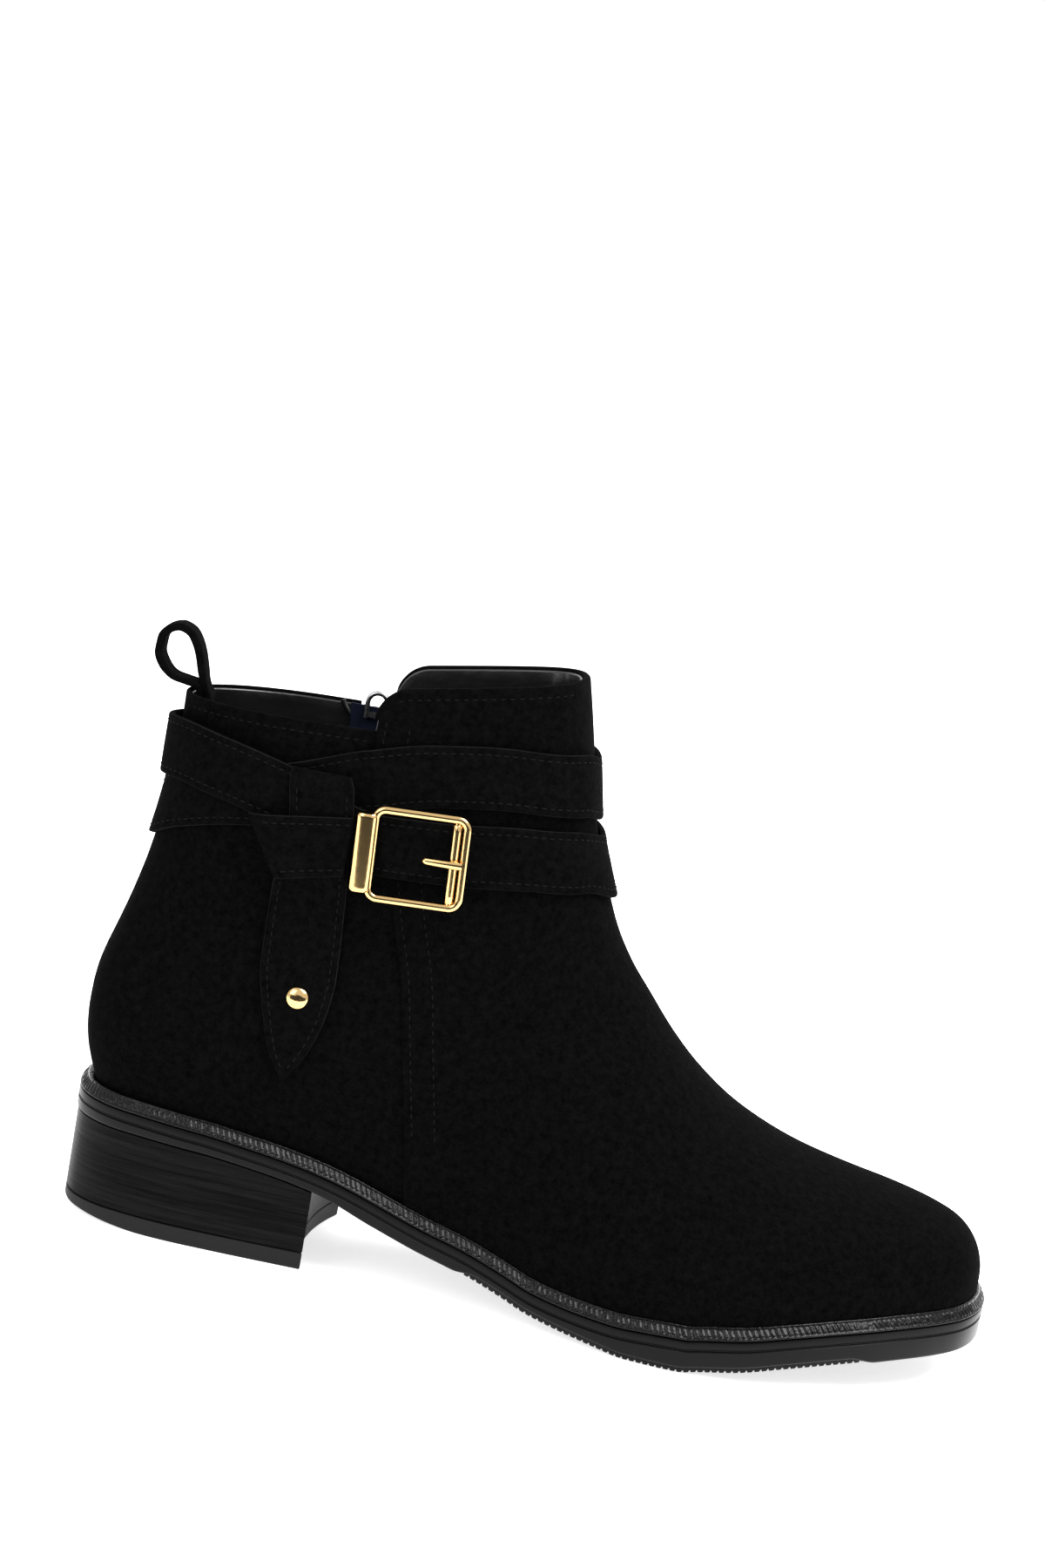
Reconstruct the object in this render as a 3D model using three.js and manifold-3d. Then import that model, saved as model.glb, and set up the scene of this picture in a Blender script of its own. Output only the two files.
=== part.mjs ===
import * as THREE from 'three';
import { mergeVertices } from 'three/addons/utils/BufferGeometryUtils.js';
import Module from 'manifold-3d';

// A right-foot ankle boot. Millimetres, toe along +X, inner side along +Y, floor at Z = 0.
// The origin is the middle of the heel's resting face.

const wasm = await Module();
wasm.setup();

// Driving sizes of the last
const LAST_LENGTH = 260.1;
const BALL_WIDTH = 90;
const HEEL_HEIGHT = 29.2;
const TOE_SPRING = 12.4;
const BACK_RISE = 114;
const BACK_CURVE = 8;
const FRONT_RISE = 158;
const SHAFT_WIDTH = 49;
const SHAFT_BACK_DEPTH = 38;
const TOE_SWING = 6.3;
const INSTEP_LEAN = 3.5;

// Driving sizes of the upper
const WALL = 2.2;
const VAMP_STEP = 0.9;
const COLLAR_SPARE = 7;
const REAR_COLLAR_SLOPE = 0.04;
const FRONT_COLLAR_SLOPE = 0.2;
const NOTCH_RADIUS = 9.5;

// Driving sizes of the sole
const SOLE_EDGE = 10;
const WELT_EDGE = 3.8;
const WELT_OUT = 3.6;
const WELT_IN = 2.5;
const TREAD = 1.8;
const TREAD_INSET = 1.6;
const INSOLE_RISE = 2.6;
const HEEL_DEPTH = 74.4;
const HEEL_TUCK = 0.6;
const HEEL_ROLL = 1.8;
const HEEL_ROLL_LENGTH = 28;
const HEEL_BOTTOM_WIDTH = 54;
const HEEL_INSET = 0.5;
const BREAST_HOLLOW = 4;
const BREAST_SKEW = 2.9;
const TOP_LIFT = 5;
const GAP = 0.3;
const STRAP_GAP = 0.5;

// Driving sizes of the straps and metal parts
const STRAP_WIDTH = 17;
const STRAP_THICK = 1.7;
const TAB_WIDTH = 20;
const RIVET_WIDTH = 6.3;
const RIVET_RISE = 1.4;
const BUCKLE_LENGTH = 27.8;
const BUCKLE_HEIGHT = 27.3;
const BUCKLE_BAR = 2.3;
const BUCKLE_THICK = 2.4;
const BUCKLE_CORNER = 3.4;
const BUCKLE_BEVEL = 0.5;
const PRONG_LENGTH = 11.3;
const PRONG_WIDTH = 2;
const PRONG_THICK = 1.6;
const ROD_SPACE = 0.5;
const ROD_WIDTH = 2.6;
const CLIP_LENGTH = 5.9;
const CLIP_GRIP = 1.75;
const CLIP_HEIGHT = 22;
const CLIP_WALL = 0.8;
const CLIP_SPACE = 1.3;
const TAB_BACK = 27.1;
const BUCKLE_STRAP_LENGTH = 23.4;
const LOOP_WIDTH = 8;
const LOOP_THICK = 2;
const LOOP_REACH = 13.7;
const LOOP_HEIGHT = 17.1;
const LOOP_ROOM = 0.9;
const ZIP_SLOT = 7.6;
const ZIP_BOTTOM = 52;
const TAPE_WIDTH = 24;
const TAPE_THICK = 0.8;
const SLIDER_LENGTH = 9;
const SLIDER_WIDTH = 7;
const SLIDER_THICK = 3.2;
const PULL_LENGTH = 24;
const PULL_WIDTH = 5;
const PULL_THICK = 1.3;
const PULL_NECK = 6;
const PULL_HOLE = 2.2;
const AXLE = 0.7;
const EYE_WALL = 0.6;
const EYE_WIDTH = 3;
const LUG_WIDTH = 0.9;
const LUG_DEPTH = 2.4;

// Mesh fineness
const AROUND = 28;
const UP = 17;
const CROWD = 1.35;
const ACROSS = 4;

const clamp = (value, low, high) => Math.min(high, Math.max(low, value));
const mix = (a, b, t) => a + (b - a) * t;
const ease = (t) => {
  const u = clamp(t, 0, 1);
  return u * u * (3 - 2 * u);
};

// A smooth curve through table rows that never overshoots them
function through(keys, values) {
  const last = keys.length - 1;
  const step = [];
  const rate = [];
  for (let i = 0; i < last; i += 1) {
    step.push(keys[i + 1] - keys[i]);
    rate.push((values[i + 1] - values[i]) / step[i]);
  }
  const slope = [rate[0]];
  for (let i = 1; i < last; i += 1) {
    const near = 2 * step[i] + step[i - 1];
    const far = step[i] + 2 * step[i - 1];
    const turns = rate[i - 1] * rate[i] <= 0;
    slope.push(turns ? 0 : (near + far) / (near / rate[i - 1] + far / rate[i]));
  }
  slope.push(rate[last - 1]);
  return (key) => {
    if (key <= keys[0]) return values[0];
    if (key >= keys[last]) return values[last];
    let i = 0;
    while (key > keys[i + 1]) i += 1;
    const t = (key - keys[i]) / step[i];
    const rest = 1 - t;
    return (1 + 2 * t) * rest * rest * values[i] + t * rest * rest * step[i] * slope[i]
      + t * t * (3 - 2 * t) * values[i + 1] - t * t * rest * step[i] * slope[i + 1];
  };
}

const column = (rows, name) => rows.map((row) => row[name]);
const table = (rows, key, value) => through(column(rows, key), column(rows, value));

// A smooth path through points given as [x, z], with u running from 0 to 1 along its length
function pathOf(points) {
  const run = [0];
  for (let i = 1; i < points.length; i += 1) {
    const dx = points[i][0] - points[i - 1][0];
    const dz = points[i][1] - points[i - 1][1];
    run.push(run[i - 1] + Math.hypot(dx, dz));
  }
  const total = run[run.length - 1];
  const keys = run.map((length) => length / total);
  const xs = through(keys, points.map((point) => point[0]));
  const zs = through(keys, points.map((point) => point[1]));
  return (u) => [xs(u), zs(u)];
}

// Finds one coordinate of a path from the other, by its samples
function lookup(path, from, to, samples = 400) {
  const rows = [];
  for (let i = 0; i <= samples; i += 1) rows.push(path(i / samples));
  if (rows[0][from] > rows[samples][from]) rows.reverse();
  return (value) => {
    let low = 0;
    let high = samples;
    while (high - low > 1) {
      const middle = (low + high) >> 1;
      if (rows[middle][from] > value) high = middle;
      else low = middle;
    }
    const span = rows[high][from] - rows[low][from];
    return mix(rows[low][to], rows[high][to], span ? (value - rows[low][from]) / span : 0);
  };
}

// Where things stand along X: the last's heel point, its toe point and the heel block
const HEEL_X = WELT_OUT - HEEL_DEPTH / 2;
const TOE_X = HEEL_X + LAST_LENGTH;
const along = (at) => HEEL_X + at * LAST_LENGTH;
const shareAt = (x) => (x - HEEL_X) / LAST_LENGTH;

// The sole seen from the side. at: share of the last's length, pitch: share of the heel's height,
// spring: share of the toe spring, edge: share of the sole's edge thickness
const SOLE_SIDE = [
  { at: -0.03, pitch: 1, spring: 0, edge: 0.62 },
  { at: 0.0648, pitch: 1, spring: 0, edge: 0.57 },
  { at: 0.1366, pitch: 0.983, spring: 0, edge: 0.54 },
  { at: 0.2034, pitch: 0.928, spring: 0, edge: 0.52 },
  { at: 0.2742, pitch: 0.82, spring: 0, edge: 0.53 },
  { at: 0.34, pitch: 0.615, spring: 0, edge: 0.64 },
  { at: 0.3918, pitch: 0.469, spring: 0, edge: 0.64 },
  { at: 0.4426, pitch: 0.363, spring: 0, edge: 0.65 },
  { at: 0.4955, pitch: 0.226, spring: 0, edge: 0.66 },
  { at: 0.5214, pitch: 0.15, spring: 0, edge: 0.67 },
  { at: 0.5603, pitch: 0.085, spring: 0, edge: 0.71 },
  { at: 0.6021, pitch: 0.035, spring: 0, edge: 0.79 },
  { at: 0.638, pitch: 0, spring: 0, edge: 0.9 },
  { at: 0.6929, pitch: 0, spring: 0, edge: 0.97 },
  { at: 0.7148, pitch: 0, spring: 0.08, edge: 0.96 },
  { at: 0.7597, pitch: 0, spring: 0.24, edge: 0.95 },
  { at: 0.8045, pitch: 0, spring: 0.455, edge: 0.93 },
  { at: 0.8494, pitch: 0, spring: 0.635, edge: 0.92 },
  { at: 0.8952, pitch: 0, spring: 0.78, edge: 0.91 },
  { at: 0.9411, pitch: 0, spring: 0.885, edge: 0.91 },
  { at: 1.02, pitch: 0, spring: 1, edge: 0.92 },
];
const pitchShare = table(SOLE_SIDE, 'at', 'pitch');
const springShare = table(SOLE_SIDE, 'at', 'spring');
const edgeShare = table(SOLE_SIDE, 'at', 'edge');
const ground = (x) => HEEL_HEIGHT * pitchShare(shareAt(x)) + TOE_SPRING * springShare(shareAt(x));
const soleTop = (x) => ground(x) + SOLE_EDGE * edgeShare(shareAt(x));
const feather = (x) => soleTop(x) + WELT_EDGE;

// The last's bottom outline and its swell above the welt. at: share of length,
// outer and inner: shares of the ball width, outSwell and inSwell: how far the wall leans out
const FOOT_PLAN = [
  { at: 0, outer: 0, inner: 0, outSwell: 0.1, inSwell: 0.1 },
  { at: 0.015, outer: 0.169, inner: 0.169, outSwell: 0.1, inSwell: 0.1 },
  { at: 0.061, outer: 0.26, inner: 0.262, outSwell: 0.1, inSwell: 0.1 },
  { at: 0.137, outer: 0.298, inner: 0.302, outSwell: 0.1, inSwell: 0.1 },
  { at: 0.213, outer: 0.303, inner: 0.308, outSwell: 0.11, inSwell: 0.11 },
  { at: 0.29, outer: 0.303, inner: 0.297, outSwell: 0.12, inSwell: 0.16 },
  { at: 0.366, outer: 0.308, inner: 0.275, outSwell: 0.13, inSwell: 0.24 },
  { at: 0.442, outer: 0.336, inner: 0.27, outSwell: 0.11, inSwell: 0.28 },
  { at: 0.518, outer: 0.391, inner: 0.308, outSwell: 0.08, inSwell: 0.22 },
  { at: 0.575, outer: 0.441, inner: 0.364, outSwell: 0.06, inSwell: 0.13 },
  { at: 0.632, outer: 0.485, inner: 0.428, outSwell: 0.045, inSwell: 0.07 },
  { at: 0.69, outer: 0.503, inner: 0.476, outSwell: 0.04, inSwell: 0.045 },
  { at: 0.747, outer: 0.498, inner: 0.49, outSwell: 0.035, inSwell: 0.035 },
  { at: 0.804, outer: 0.476, inner: 0.474, outSwell: 0.03, inSwell: 0.03 },
  { at: 0.861, outer: 0.431, inner: 0.43, outSwell: 0.03, inSwell: 0.03 },
  { at: 0.918, outer: 0.356, inner: 0.357, outSwell: 0.03, inSwell: 0.03 },
  { at: 0.956, outer: 0.282, inner: 0.284, outSwell: 0.03, inSwell: 0.03 },
  { at: 0.979, outer: 0.214, inner: 0.215, outSwell: 0.03, inSwell: 0.03 },
  { at: 1, outer: 0, inner: 0, outSwell: 0.03, inSwell: 0.03 },
];
const turnOf = (share) => Math.acos(1 - 2 * clamp(share, 0, 1));
const planTurns = FOOT_PLAN.map((row) => turnOf(row.at));
const halfPlan = {
  outer: through(planTurns, column(FOOT_PLAN, 'outer')),
  inner: through(planTurns, column(FOOT_PLAN, 'inner')),
};
const swellOf = {
  outer: table(FOOT_PLAN, 'at', 'outSwell'),
  inner: table(FOOT_PLAN, 'at', 'inSwell'),
};
const SWING = [
  { at: 0, swing: 0, lean: 0 },
  { at: 0.45, swing: 0, lean: 0 },
  { at: 0.6, swing: 0, lean: 0.7 },
  { at: 0.75, swing: 0.1, lean: 1 },
  { at: 0.86, swing: 0.48, lean: 0.8 },
  { at: 0.93, swing: 0.78, lean: 0.4 },
  { at: 1, swing: 1, lean: 0 },
];
const swing = table(SWING, 'at', 'swing');
const leanShare = table(SWING, 'at', 'lean');
const centreY = (x) => TOE_SWING * swing(shareAt(x));

// The back line. rise: share of the back rise, out: share of the back curve, forward positive
const BACK_LINE = [
  { rise: 0, out: 0 },
  { rise: 0.044, out: -0.25 },
  { rise: 0.088, out: -0.44 },
  { rise: 0.133, out: -0.55 },
  { rise: 0.178, out: -0.59 },
  { rise: 0.225, out: -0.575 },
  { rise: 0.271, out: -0.51 },
  { rise: 0.319, out: -0.36 },
  { rise: 0.368, out: -0.155 },
  { rise: 0.417, out: 0.05 },
  { rise: 0.465, out: 0.235 },
  { rise: 0.513, out: 0.4 },
  { rise: 0.561, out: 0.55 },
  { rise: 0.639, out: 0.74 },
  { rise: 0.707, out: 0.89 },
  { rise: 0.786, out: 0.985 },
  { rise: 0.884, out: 1 },
  { rise: 1, out: 0.975 },
];
const seatZ = feather(HEEL_X);
const backShare = table(BACK_LINE, 'rise', 'out');
const backX = (z) => HEEL_X + BACK_CURVE * backShare((z - seatZ) / BACK_RISE);
const backTop = seatZ + BACK_RISE;

// The front line from the toe up over the instep to the collar. at: share of length,
// rise: share of the front rise over the welt under it
const FRONT_LINE = [
  { at: 1, rise: 0 },
  { at: 0.9995, rise: 0.03 },
  { at: 0.995, rise: 0.06 },
  { at: 0.985, rise: 0.088 },
  { at: 0.968, rise: 0.113 },
  { at: 0.94, rise: 0.134 },
  { at: 0.896, rise: 0.159 },
  { at: 0.845, rise: 0.187 },
  { at: 0.799, rise: 0.219 },
  { at: 0.76, rise: 0.253 },
  { at: 0.7, rise: 0.316 },
  { at: 0.652, rise: 0.377 },
  { at: 0.6165, rise: 0.436 },
  { at: 0.586, rise: 0.493 },
  { at: 0.5575, rise: 0.546 },
  { at: 0.5355, rise: 0.599 },
  { at: 0.523, rise: 0.64 },
  { at: 0.4935, rise: 0.75 },
  { at: 0.4755, rise: 0.874 },
  { at: 0.4617, rise: 0.963 },
  { at: 0.4557, rise: 1 },
  { at: 0.4497, rise: 1.052 },
];
const frontPoint = (row) => [along(row.at), feather(along(row.at)) + FRONT_RISE * row.rise];
const frontPoints = FRONT_LINE.map(frontPoint);
const frontPath = pathOf(frontPoints);
const frontX = lookup(frontPath, 1, 0);
const frontZ = lookup(frontPath, 0, 1);
const collarFront = frontPoint(FRONT_LINE[FRONT_LINE.length - 2]);

// How square the section's top is. at: share of length
const CROWN = [
  { at: 0, power: 4 },
  { at: 0.46, power: 4 },
  { at: 0.52, power: 3.1 },
  { at: 0.58, power: 2.4 },
  { at: 0.66, power: 2.05 },
  { at: 0.8, power: 2.05 },
  { at: 0.93, power: 2.3 },
  { at: 1, power: 2.6 },
];
const crownPower = table(CROWN, 'at', 'power');

const SWELL_RISE = 0.17;
const SHAFT_FROM = 0.08;
const SHAFT_FULL = 0.72;
const SHAFT_TAPER = 0.1;

// Half the upper's width at a place in the side view; side is 'outer' or 'inner'
function halfWidth(x, z, side) {
  const back = backX(z);
  const share = clamp((x - back) / (TOE_X - back), 0, 1);
  const height = Math.max(0, z - feather(x));
  const open = 1 - clamp(height / (SWELL_RISE * BACK_RISE), 0, 1);
  const swell = 1 + swellOf[side](share) * (1 - open * open);
  const low = BALL_WIDTH * halfPlan[side](turnOf(share)) * swell;
  const depth = clamp((x - back) / SHAFT_BACK_DEPTH, 0, 1);
  const taper = 1 - SHAFT_TAPER * clamp((x - back) / (collarFront[0] - HEEL_X), 0, 1);
  const high = SHAFT_WIDTH / 2 * Math.sqrt(1 - (1 - depth) ** 2) * taper;
  const up = (z - seatZ) / BACK_RISE;
  const body = mix(low, high, ease((up - SHAFT_FROM) / (SHAFT_FULL - SHAFT_FROM)));
  return body * Math.sqrt(1 - crownShare(x, z) ** crownPower(shareAt(x)));
}

// How far up a section a place is, from 0 at the welt to 1 on the front line
function crownShare(x, z) {
  const low = feather(x);
  return clamp((z - low) / Math.max(0.001, frontZ(x) - low), 0, 1);
}

// A point of the upper's outer face from its place in the side view; hand is -1 outer, +1 inner
function facePoint(x, z, hand) {
  const half = halfWidth(x, z, hand < 0 ? 'outer' : 'inner');
  const lean = INSTEP_LEAN * leanShare(shareAt(x)) * crownShare(x, z) ** 2;
  return new THREE.Vector3(x, centreY(x) + lean + hand * half, z);
}

// The face as a tube: turn runs 0 to 1 from the back round the outer side and the toe,
// up runs 0 to 1 from the welt to above the collar
const spareTop = backTop + COLLAR_SPARE;
const frontTop = frontPoints[frontPoints.length - 1];
function tubePoint(turn, up) {
  const angle = 2 * Math.PI * turn;
  const s = (1 - Math.cos(angle)) / 2;
  const hand = turn <= 0.5 ? -1 : 1;
  const footX = mix(HEEL_X, TOE_X, s);
  const backZ = mix(seatZ, spareTop, up);
  const front = frontPath(up);
  const topBack = [backX(spareTop), spareTop];
  const low = [footX, feather(footX)];
  const top = [mix(topBack[0], frontTop[0], s), mix(spareTop, frontTop[1], s)];
  const rear = [backX(backZ), backZ];
  const corner = (i, heel, toe, heelTop, toeTop) => mix(
    mix(heel[i], toe[i], s),
    mix(heelTop[i], toeTop[i], s),
    up,
  );
  const heel = [HEEL_X, seatZ];
  const toe = [TOE_X, feather(TOE_X)];
  const place = [0, 1].map((i) => mix(low[i], top[i], up) + mix(rear[i], front[i], s)
    - corner(i, heel, toe, topBack, frontTop));
  return facePoint(place[0], place[1], hand);
}

const STEP = 0.0015;
function outward(pointAt, u, v) {
  const forward = pointAt(u + STEP, v).sub(pointAt(u - STEP, v));
  const lowV = Math.max(0, v - STEP);
  const highV = Math.min(1, v + STEP);
  const upward = pointAt(u, highV).sub(pointAt(u, lowV));
  return forward.cross(upward).normalize();
}
const wrap = (turn) => turn - Math.floor(turn);
const tubeWrapped = (turn, up) => tubePoint(wrap(turn), up);

// Mesh helpers: solids are gathered as triangles, welded and turned outward
function weld(triangles) {
  const raw = new THREE.BufferGeometry();
  const flat = triangles.flat().flatMap((point) => [point.x, point.y, point.z]);
  raw.setAttribute('position', new THREE.Float32BufferAttribute(flat, 3));
  const merged = mergeVertices(raw, 1e-3);
  const index = merged.index.array;
  const kept = [];
  for (let i = 0; i < index.length; i += 3) {
    const [a, b, c] = [index[i], index[i + 1], index[i + 2]];
    if (a !== b && b !== c && c !== a) kept.push(a, b, c);
  }
  merged.setIndex(kept);
  if (volumeOf(merged) < 0) {
    for (let i = 0; i < kept.length; i += 3) [kept[i], kept[i + 1]] = [kept[i + 1], kept[i]];
    merged.setIndex(kept);
  }
  return merged;
}

function volumeOf(geometry) {
  const position = geometry.attributes.position;
  const index = geometry.index.array;
  const corner = [new THREE.Vector3(), new THREE.Vector3(), new THREE.Vector3()];
  let six = 0;
  for (let i = 0; i < index.length; i += 3) {
    for (let k = 0; k < 3; k += 1) corner[k].fromBufferAttribute(position, index[i + k]);
    six += corner[0].dot(corner[1].clone().cross(corner[2]));
  }
  return six / 6;
}

function quad(list, a, b, c, d) {
  list.push([a, b, c], [a, c, d]);
}

// A closed skin between two grids of points with the same shape; closed means the rows wrap round
function skin(outer, inner, closed) {
  const list = [];
  const rows = outer.length;
  const columns = outer[0].length;
  const span = closed ? columns : columns - 1;
  for (let i = 0; i + 1 < rows; i += 1) {
    for (let j = 0; j < span; j += 1) {
      const k = (j + 1) % columns;
      quad(list, outer[i][j], outer[i][k], outer[i + 1][k], outer[i + 1][j]);
      quad(list, inner[i][k], inner[i][j], inner[i + 1][j], inner[i + 1][k]);
    }
    if (!closed) {
      quad(list, inner[i][0], outer[i][0], outer[i + 1][0], inner[i + 1][0]);
      const end = columns - 1;
      quad(list, outer[i][end], inner[i][end], inner[i + 1][end], outer[i + 1][end]);
    }
  }
  for (let j = 0; j < span; j += 1) {
    const k = (j + 1) % columns;
    quad(list, inner[0][j], inner[0][k], outer[0][k], outer[0][j]);
    quad(list, outer[rows - 1][j], outer[rows - 1][k], inner[rows - 1][k], inner[rows - 1][j]);
  }
  return weld(list);
}

function solid(geometry) {
  const position = Float32Array.from(geometry.attributes.position.array);
  const index = Uint32Array.from(geometry.index.array);
  return new wasm.Manifold(new wasm.Mesh({ numProp: 3, vertProperties: position, triVerts: index }));
}

function geometryOf(manifold) {
  const mesh = manifold.getMesh();
  const geometry = new THREE.BufferGeometry();
  geometry.setAttribute('position', new THREE.Float32BufferAttribute(mesh.vertProperties, 3));
  geometry.setIndex(Array.from(mesh.triVerts));
  return geometry;
}

function stripped(geometry) {
  const bare = geometry.index ? geometry.toNonIndexed() : geometry.clone();
  const position = bare.attributes.position;
  const triangles = [];
  for (let i = 0; i < position.count; i += 3) {
    triangles.push([0, 1, 2].map((k) => new THREE.Vector3().fromBufferAttribute(position, i + k)));
  }
  return weld(triangles);
}

// A prism from a side-view outline of [x, z] points, between two heights of Y
function sidePrism(outline, fromY, toY) {
  const shape = new THREE.Shape(outline.map(([x, z]) => new THREE.Vector2(x, z)));
  const geometry = new THREE.ExtrudeGeometry(shape, { depth: toY - fromY, bevelEnabled: false });
  geometry.rotateX(Math.PI / 2);
  geometry.translate(0, toY, 0);
  return stripped(geometry);
}

// The collar's side view: a low rear edge, a rounded step at the seam and a higher front edge.
// height: share of the back rise, at: share of length along the side seam
const SEAM = [
  { height: -0.12, at: 0.3709 },
  { height: 0, at: 0.3639 },
  { height: 0.279, at: 0.339 },
  { height: 0.446, at: 0.3226 },
  { height: 0.569, at: 0.3049 },
  { height: 0.786, at: 0.2781 },
  { height: 0.985, at: 0.2527 },
  { height: 1.05, at: 0.2452 },
];
const seamShare = table(SEAM, 'height', 'at');
const seamX = (z) => along(seamShare((z - seatZ) / BACK_RISE));
const rearCollar = (x) => backTop + REAR_COLLAR_SLOPE * (x - backX(backTop));
const frontCollar = (x) => collarFront[1] - FRONT_COLLAR_SLOPE * (collarFront[0] - x);
const ARC_STEPS = 6;

function notchOutline() {
  const x0 = seamX(backTop);
  const points = [[x0, rearCollar(x0)]];
  const tilt = Math.atan(FRONT_COLLAR_SLOPE);
  const centreX = x0 + NOTCH_RADIUS;
  const centreZ = frontCollar(centreX) - NOTCH_RADIUS / Math.cos(tilt);
  for (let i = 0; i <= ARC_STEPS; i += 1) {
    const angle = mix(Math.PI, Math.PI / 2 + tilt, i / ARC_STEPS);
    points.push([centreX + NOTCH_RADIUS * Math.cos(angle), centreZ + NOTCH_RADIUS * Math.sin(angle)]);
  }
  return points;
}

const FAR = 90;
function collarCutter() {
  const behind = HEEL_X - FAR / 2;
  const ahead = collarFront[0] + FAR / 2;
  const outline = [
    [behind, rearCollar(behind)],
    ...notchOutline(),
    [ahead, frontCollar(ahead)],
    [ahead, collarFront[1] + FAR],
    [behind, collarFront[1] + FAR],
  ];
  return solid(sidePrism(outline, -FAR, FAR));
}

// The zip's line on the inner side, leaning forward as it goes down
const ZIP_TOP_AT = 0.2253;
const ZIP_FOOT_AT = 0.2781;
const zipTopZ = rearCollar(along(ZIP_TOP_AT));
const zipX = (z) => along(mix(ZIP_FOOT_AT, ZIP_TOP_AT, (z - ZIP_BOTTOM) / (zipTopZ - ZIP_BOTTOM)));

function bandOutline(centre, half, fromZ, toZ, steps) {
  const left = [];
  const right = [];
  for (let i = 0; i <= steps; i += 1) {
    const z = mix(fromZ, toZ, i / steps);
    left.push([centre(z) - half, z]);
    right.unshift([centre(z) + half, z]);
  }
  return [...left, ...right];
}

// The upper: one hollow wall, a thicker front panel over it, the collar cut and the zip's slot
function wallBetween(outOffset, inOffset) {
  const outer = [];
  const inner = [];
  const columns = AROUND * 2;
  for (let i = 0; i <= UP; i += 1) {
    const up = (i / UP) ** CROWD;
    const outerRow = [];
    const innerRow = [];
    for (let j = 0; j < columns; j += 1) {
      const turn = j / columns;
      const point = tubeWrapped(turn, up);
      const normal = outward(tubeWrapped, turn, up);
      const out = point.clone().addScaledVector(normal, outOffset);
      const inn = point.clone().addScaledVector(normal, inOffset);
      if (i === 0) {
        out.z = point.z;
        inn.z = point.z;
      }
      outerRow.push(out);
      innerRow.push(inn);
    }
    outer.push(outerRow);
    inner.push(innerRow);
  }
  return solid(skin(outer, inner, true));
}

function frontRegion(edge, fromY, toY) {
  const low = -FAR / 3;
  const high = collarFront[1] + FAR / 3;
  const outline = [];
  const steps = 12;
  for (let i = 0; i <= steps; i += 1) {
    const z = mix(low, high, i / steps);
    outline.push([edge(z), z]);
  }
  outline.push([TOE_X + FAR, high], [TOE_X + FAR, low]);
  return solid(sidePrism(outline, fromY, toY));
}

function upperGeometry() {
  const wall = wallBetween(0, -WALL);
  const layer = wallBetween(VAMP_STEP, -WALL / 3);
  const outerFront = layer.intersect(frontRegion(seamX, -FAR, 0.01));
  const zipEdge = (z) => zipX(z) + ZIP_SLOT / 2;
  const innerFront = layer.intersect(frontRegion(zipEdge, 0, FAR));
  const slot = solid(sidePrism(bandOutline(zipX, ZIP_SLOT / 2, ZIP_BOTTOM, zipTopZ + FAR / 2, 4), 5, FAR));
  const whole = wall.add(outerFront).add(innerFront).subtract(collarCutter()).subtract(slot);
  return geometryOf(whole);
}

// Plan outline of the last's bottom with a margin outside it; turn as in the tube
function planPoint(turn, margin) {
  const edge = (t) => {
    const s = (1 - Math.cos(2 * Math.PI * t)) / 2;
    const x = mix(HEEL_X, TOE_X, s);
    const hand = wrap(t) <= 0.5 ? -1 : 1;
    const half = BALL_WIDTH * halfPlan[hand < 0 ? 'outer' : 'inner'](turnOf(s));
    return new THREE.Vector2(x, centreY(x) + hand * half);
  };
  const ahead = edge(turn + STEP);
  const behind = edge(turn - STEP);
  const normal = new THREE.Vector2(ahead.y - behind.y, behind.x - ahead.x).normalize();
  return edge(turn).addScaledVector(normal, margin);
}

// A plate of the sole from rings of levels, bottom first; each level has a margin and a height
const PLAN_COLUMNS = 64;
function plate(levels) {
  const half = PLAN_COLUMNS / 2;
  const rings = levels.map((level) => {
    const ring = [];
    for (let j = 0; j < PLAN_COLUMNS; j += 1) {
      const point = planPoint(j / PLAN_COLUMNS, level.margin);
      ring.push(new THREE.Vector3(point.x, point.y, level.height(point.x)));
    }
    return ring;
  });
  const list = [];
  for (let i = 0; i + 1 < rings.length; i += 1) {
    for (let j = 0; j < PLAN_COLUMNS; j += 1) {
      const k = (j + 1) % PLAN_COLUMNS;
      quad(list, rings[i][j], rings[i][k], rings[i + 1][k], rings[i + 1][j]);
    }
  }
  for (const [ring, level, flip] of [[rings[0], levels[0], true], [rings.at(-1), levels.at(-1), false]]) {
    const across = (j, m) => {
      const left = ring[j];
      const right = ring[(PLAN_COLUMNS - j) % PLAN_COLUMNS];
      if (m === 0) return left;
      if (m === ACROSS) return right;
      const point = left.clone().lerp(right, m / ACROSS);
      point.z = level.height(point.x);
      return point;
    };
    for (let j = 0; j < half; j += 1) {
      for (let m = 0; m < ACROSS; m += 1) {
        const corners = [across(j, m), across(j + 1, m), across(j + 1, m + 1), across(j, m + 1)];
        if (flip) corners.reverse();
        quad(list, ...corners);
      }
    }
  }
  return weld(list);
}

// A ring of the sole from a closed profile of margins and height offsets
function ringBand(profile) {
  const rows = [...profile, profile[0]].map(({ margin, height }) => {
    const ring = [];
    for (let j = 0; j < PLAN_COLUMNS; j += 1) {
      const point = planPoint(j / PLAN_COLUMNS, margin);
      ring.push(new THREE.Vector3(point.x, point.y, height(point.x)));
    }
    return ring;
  });
  const list = [];
  for (let i = 0; i + 1 < rows.length; i += 1) {
    for (let j = 0; j < PLAN_COLUMNS; j += 1) {
      const k = (j + 1) % PLAN_COLUMNS;
      quad(list, rows[i][j], rows[i][k], rows[i + 1][k], rows[i + 1][j]);
    }
  }
  return weld(list);
}

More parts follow.
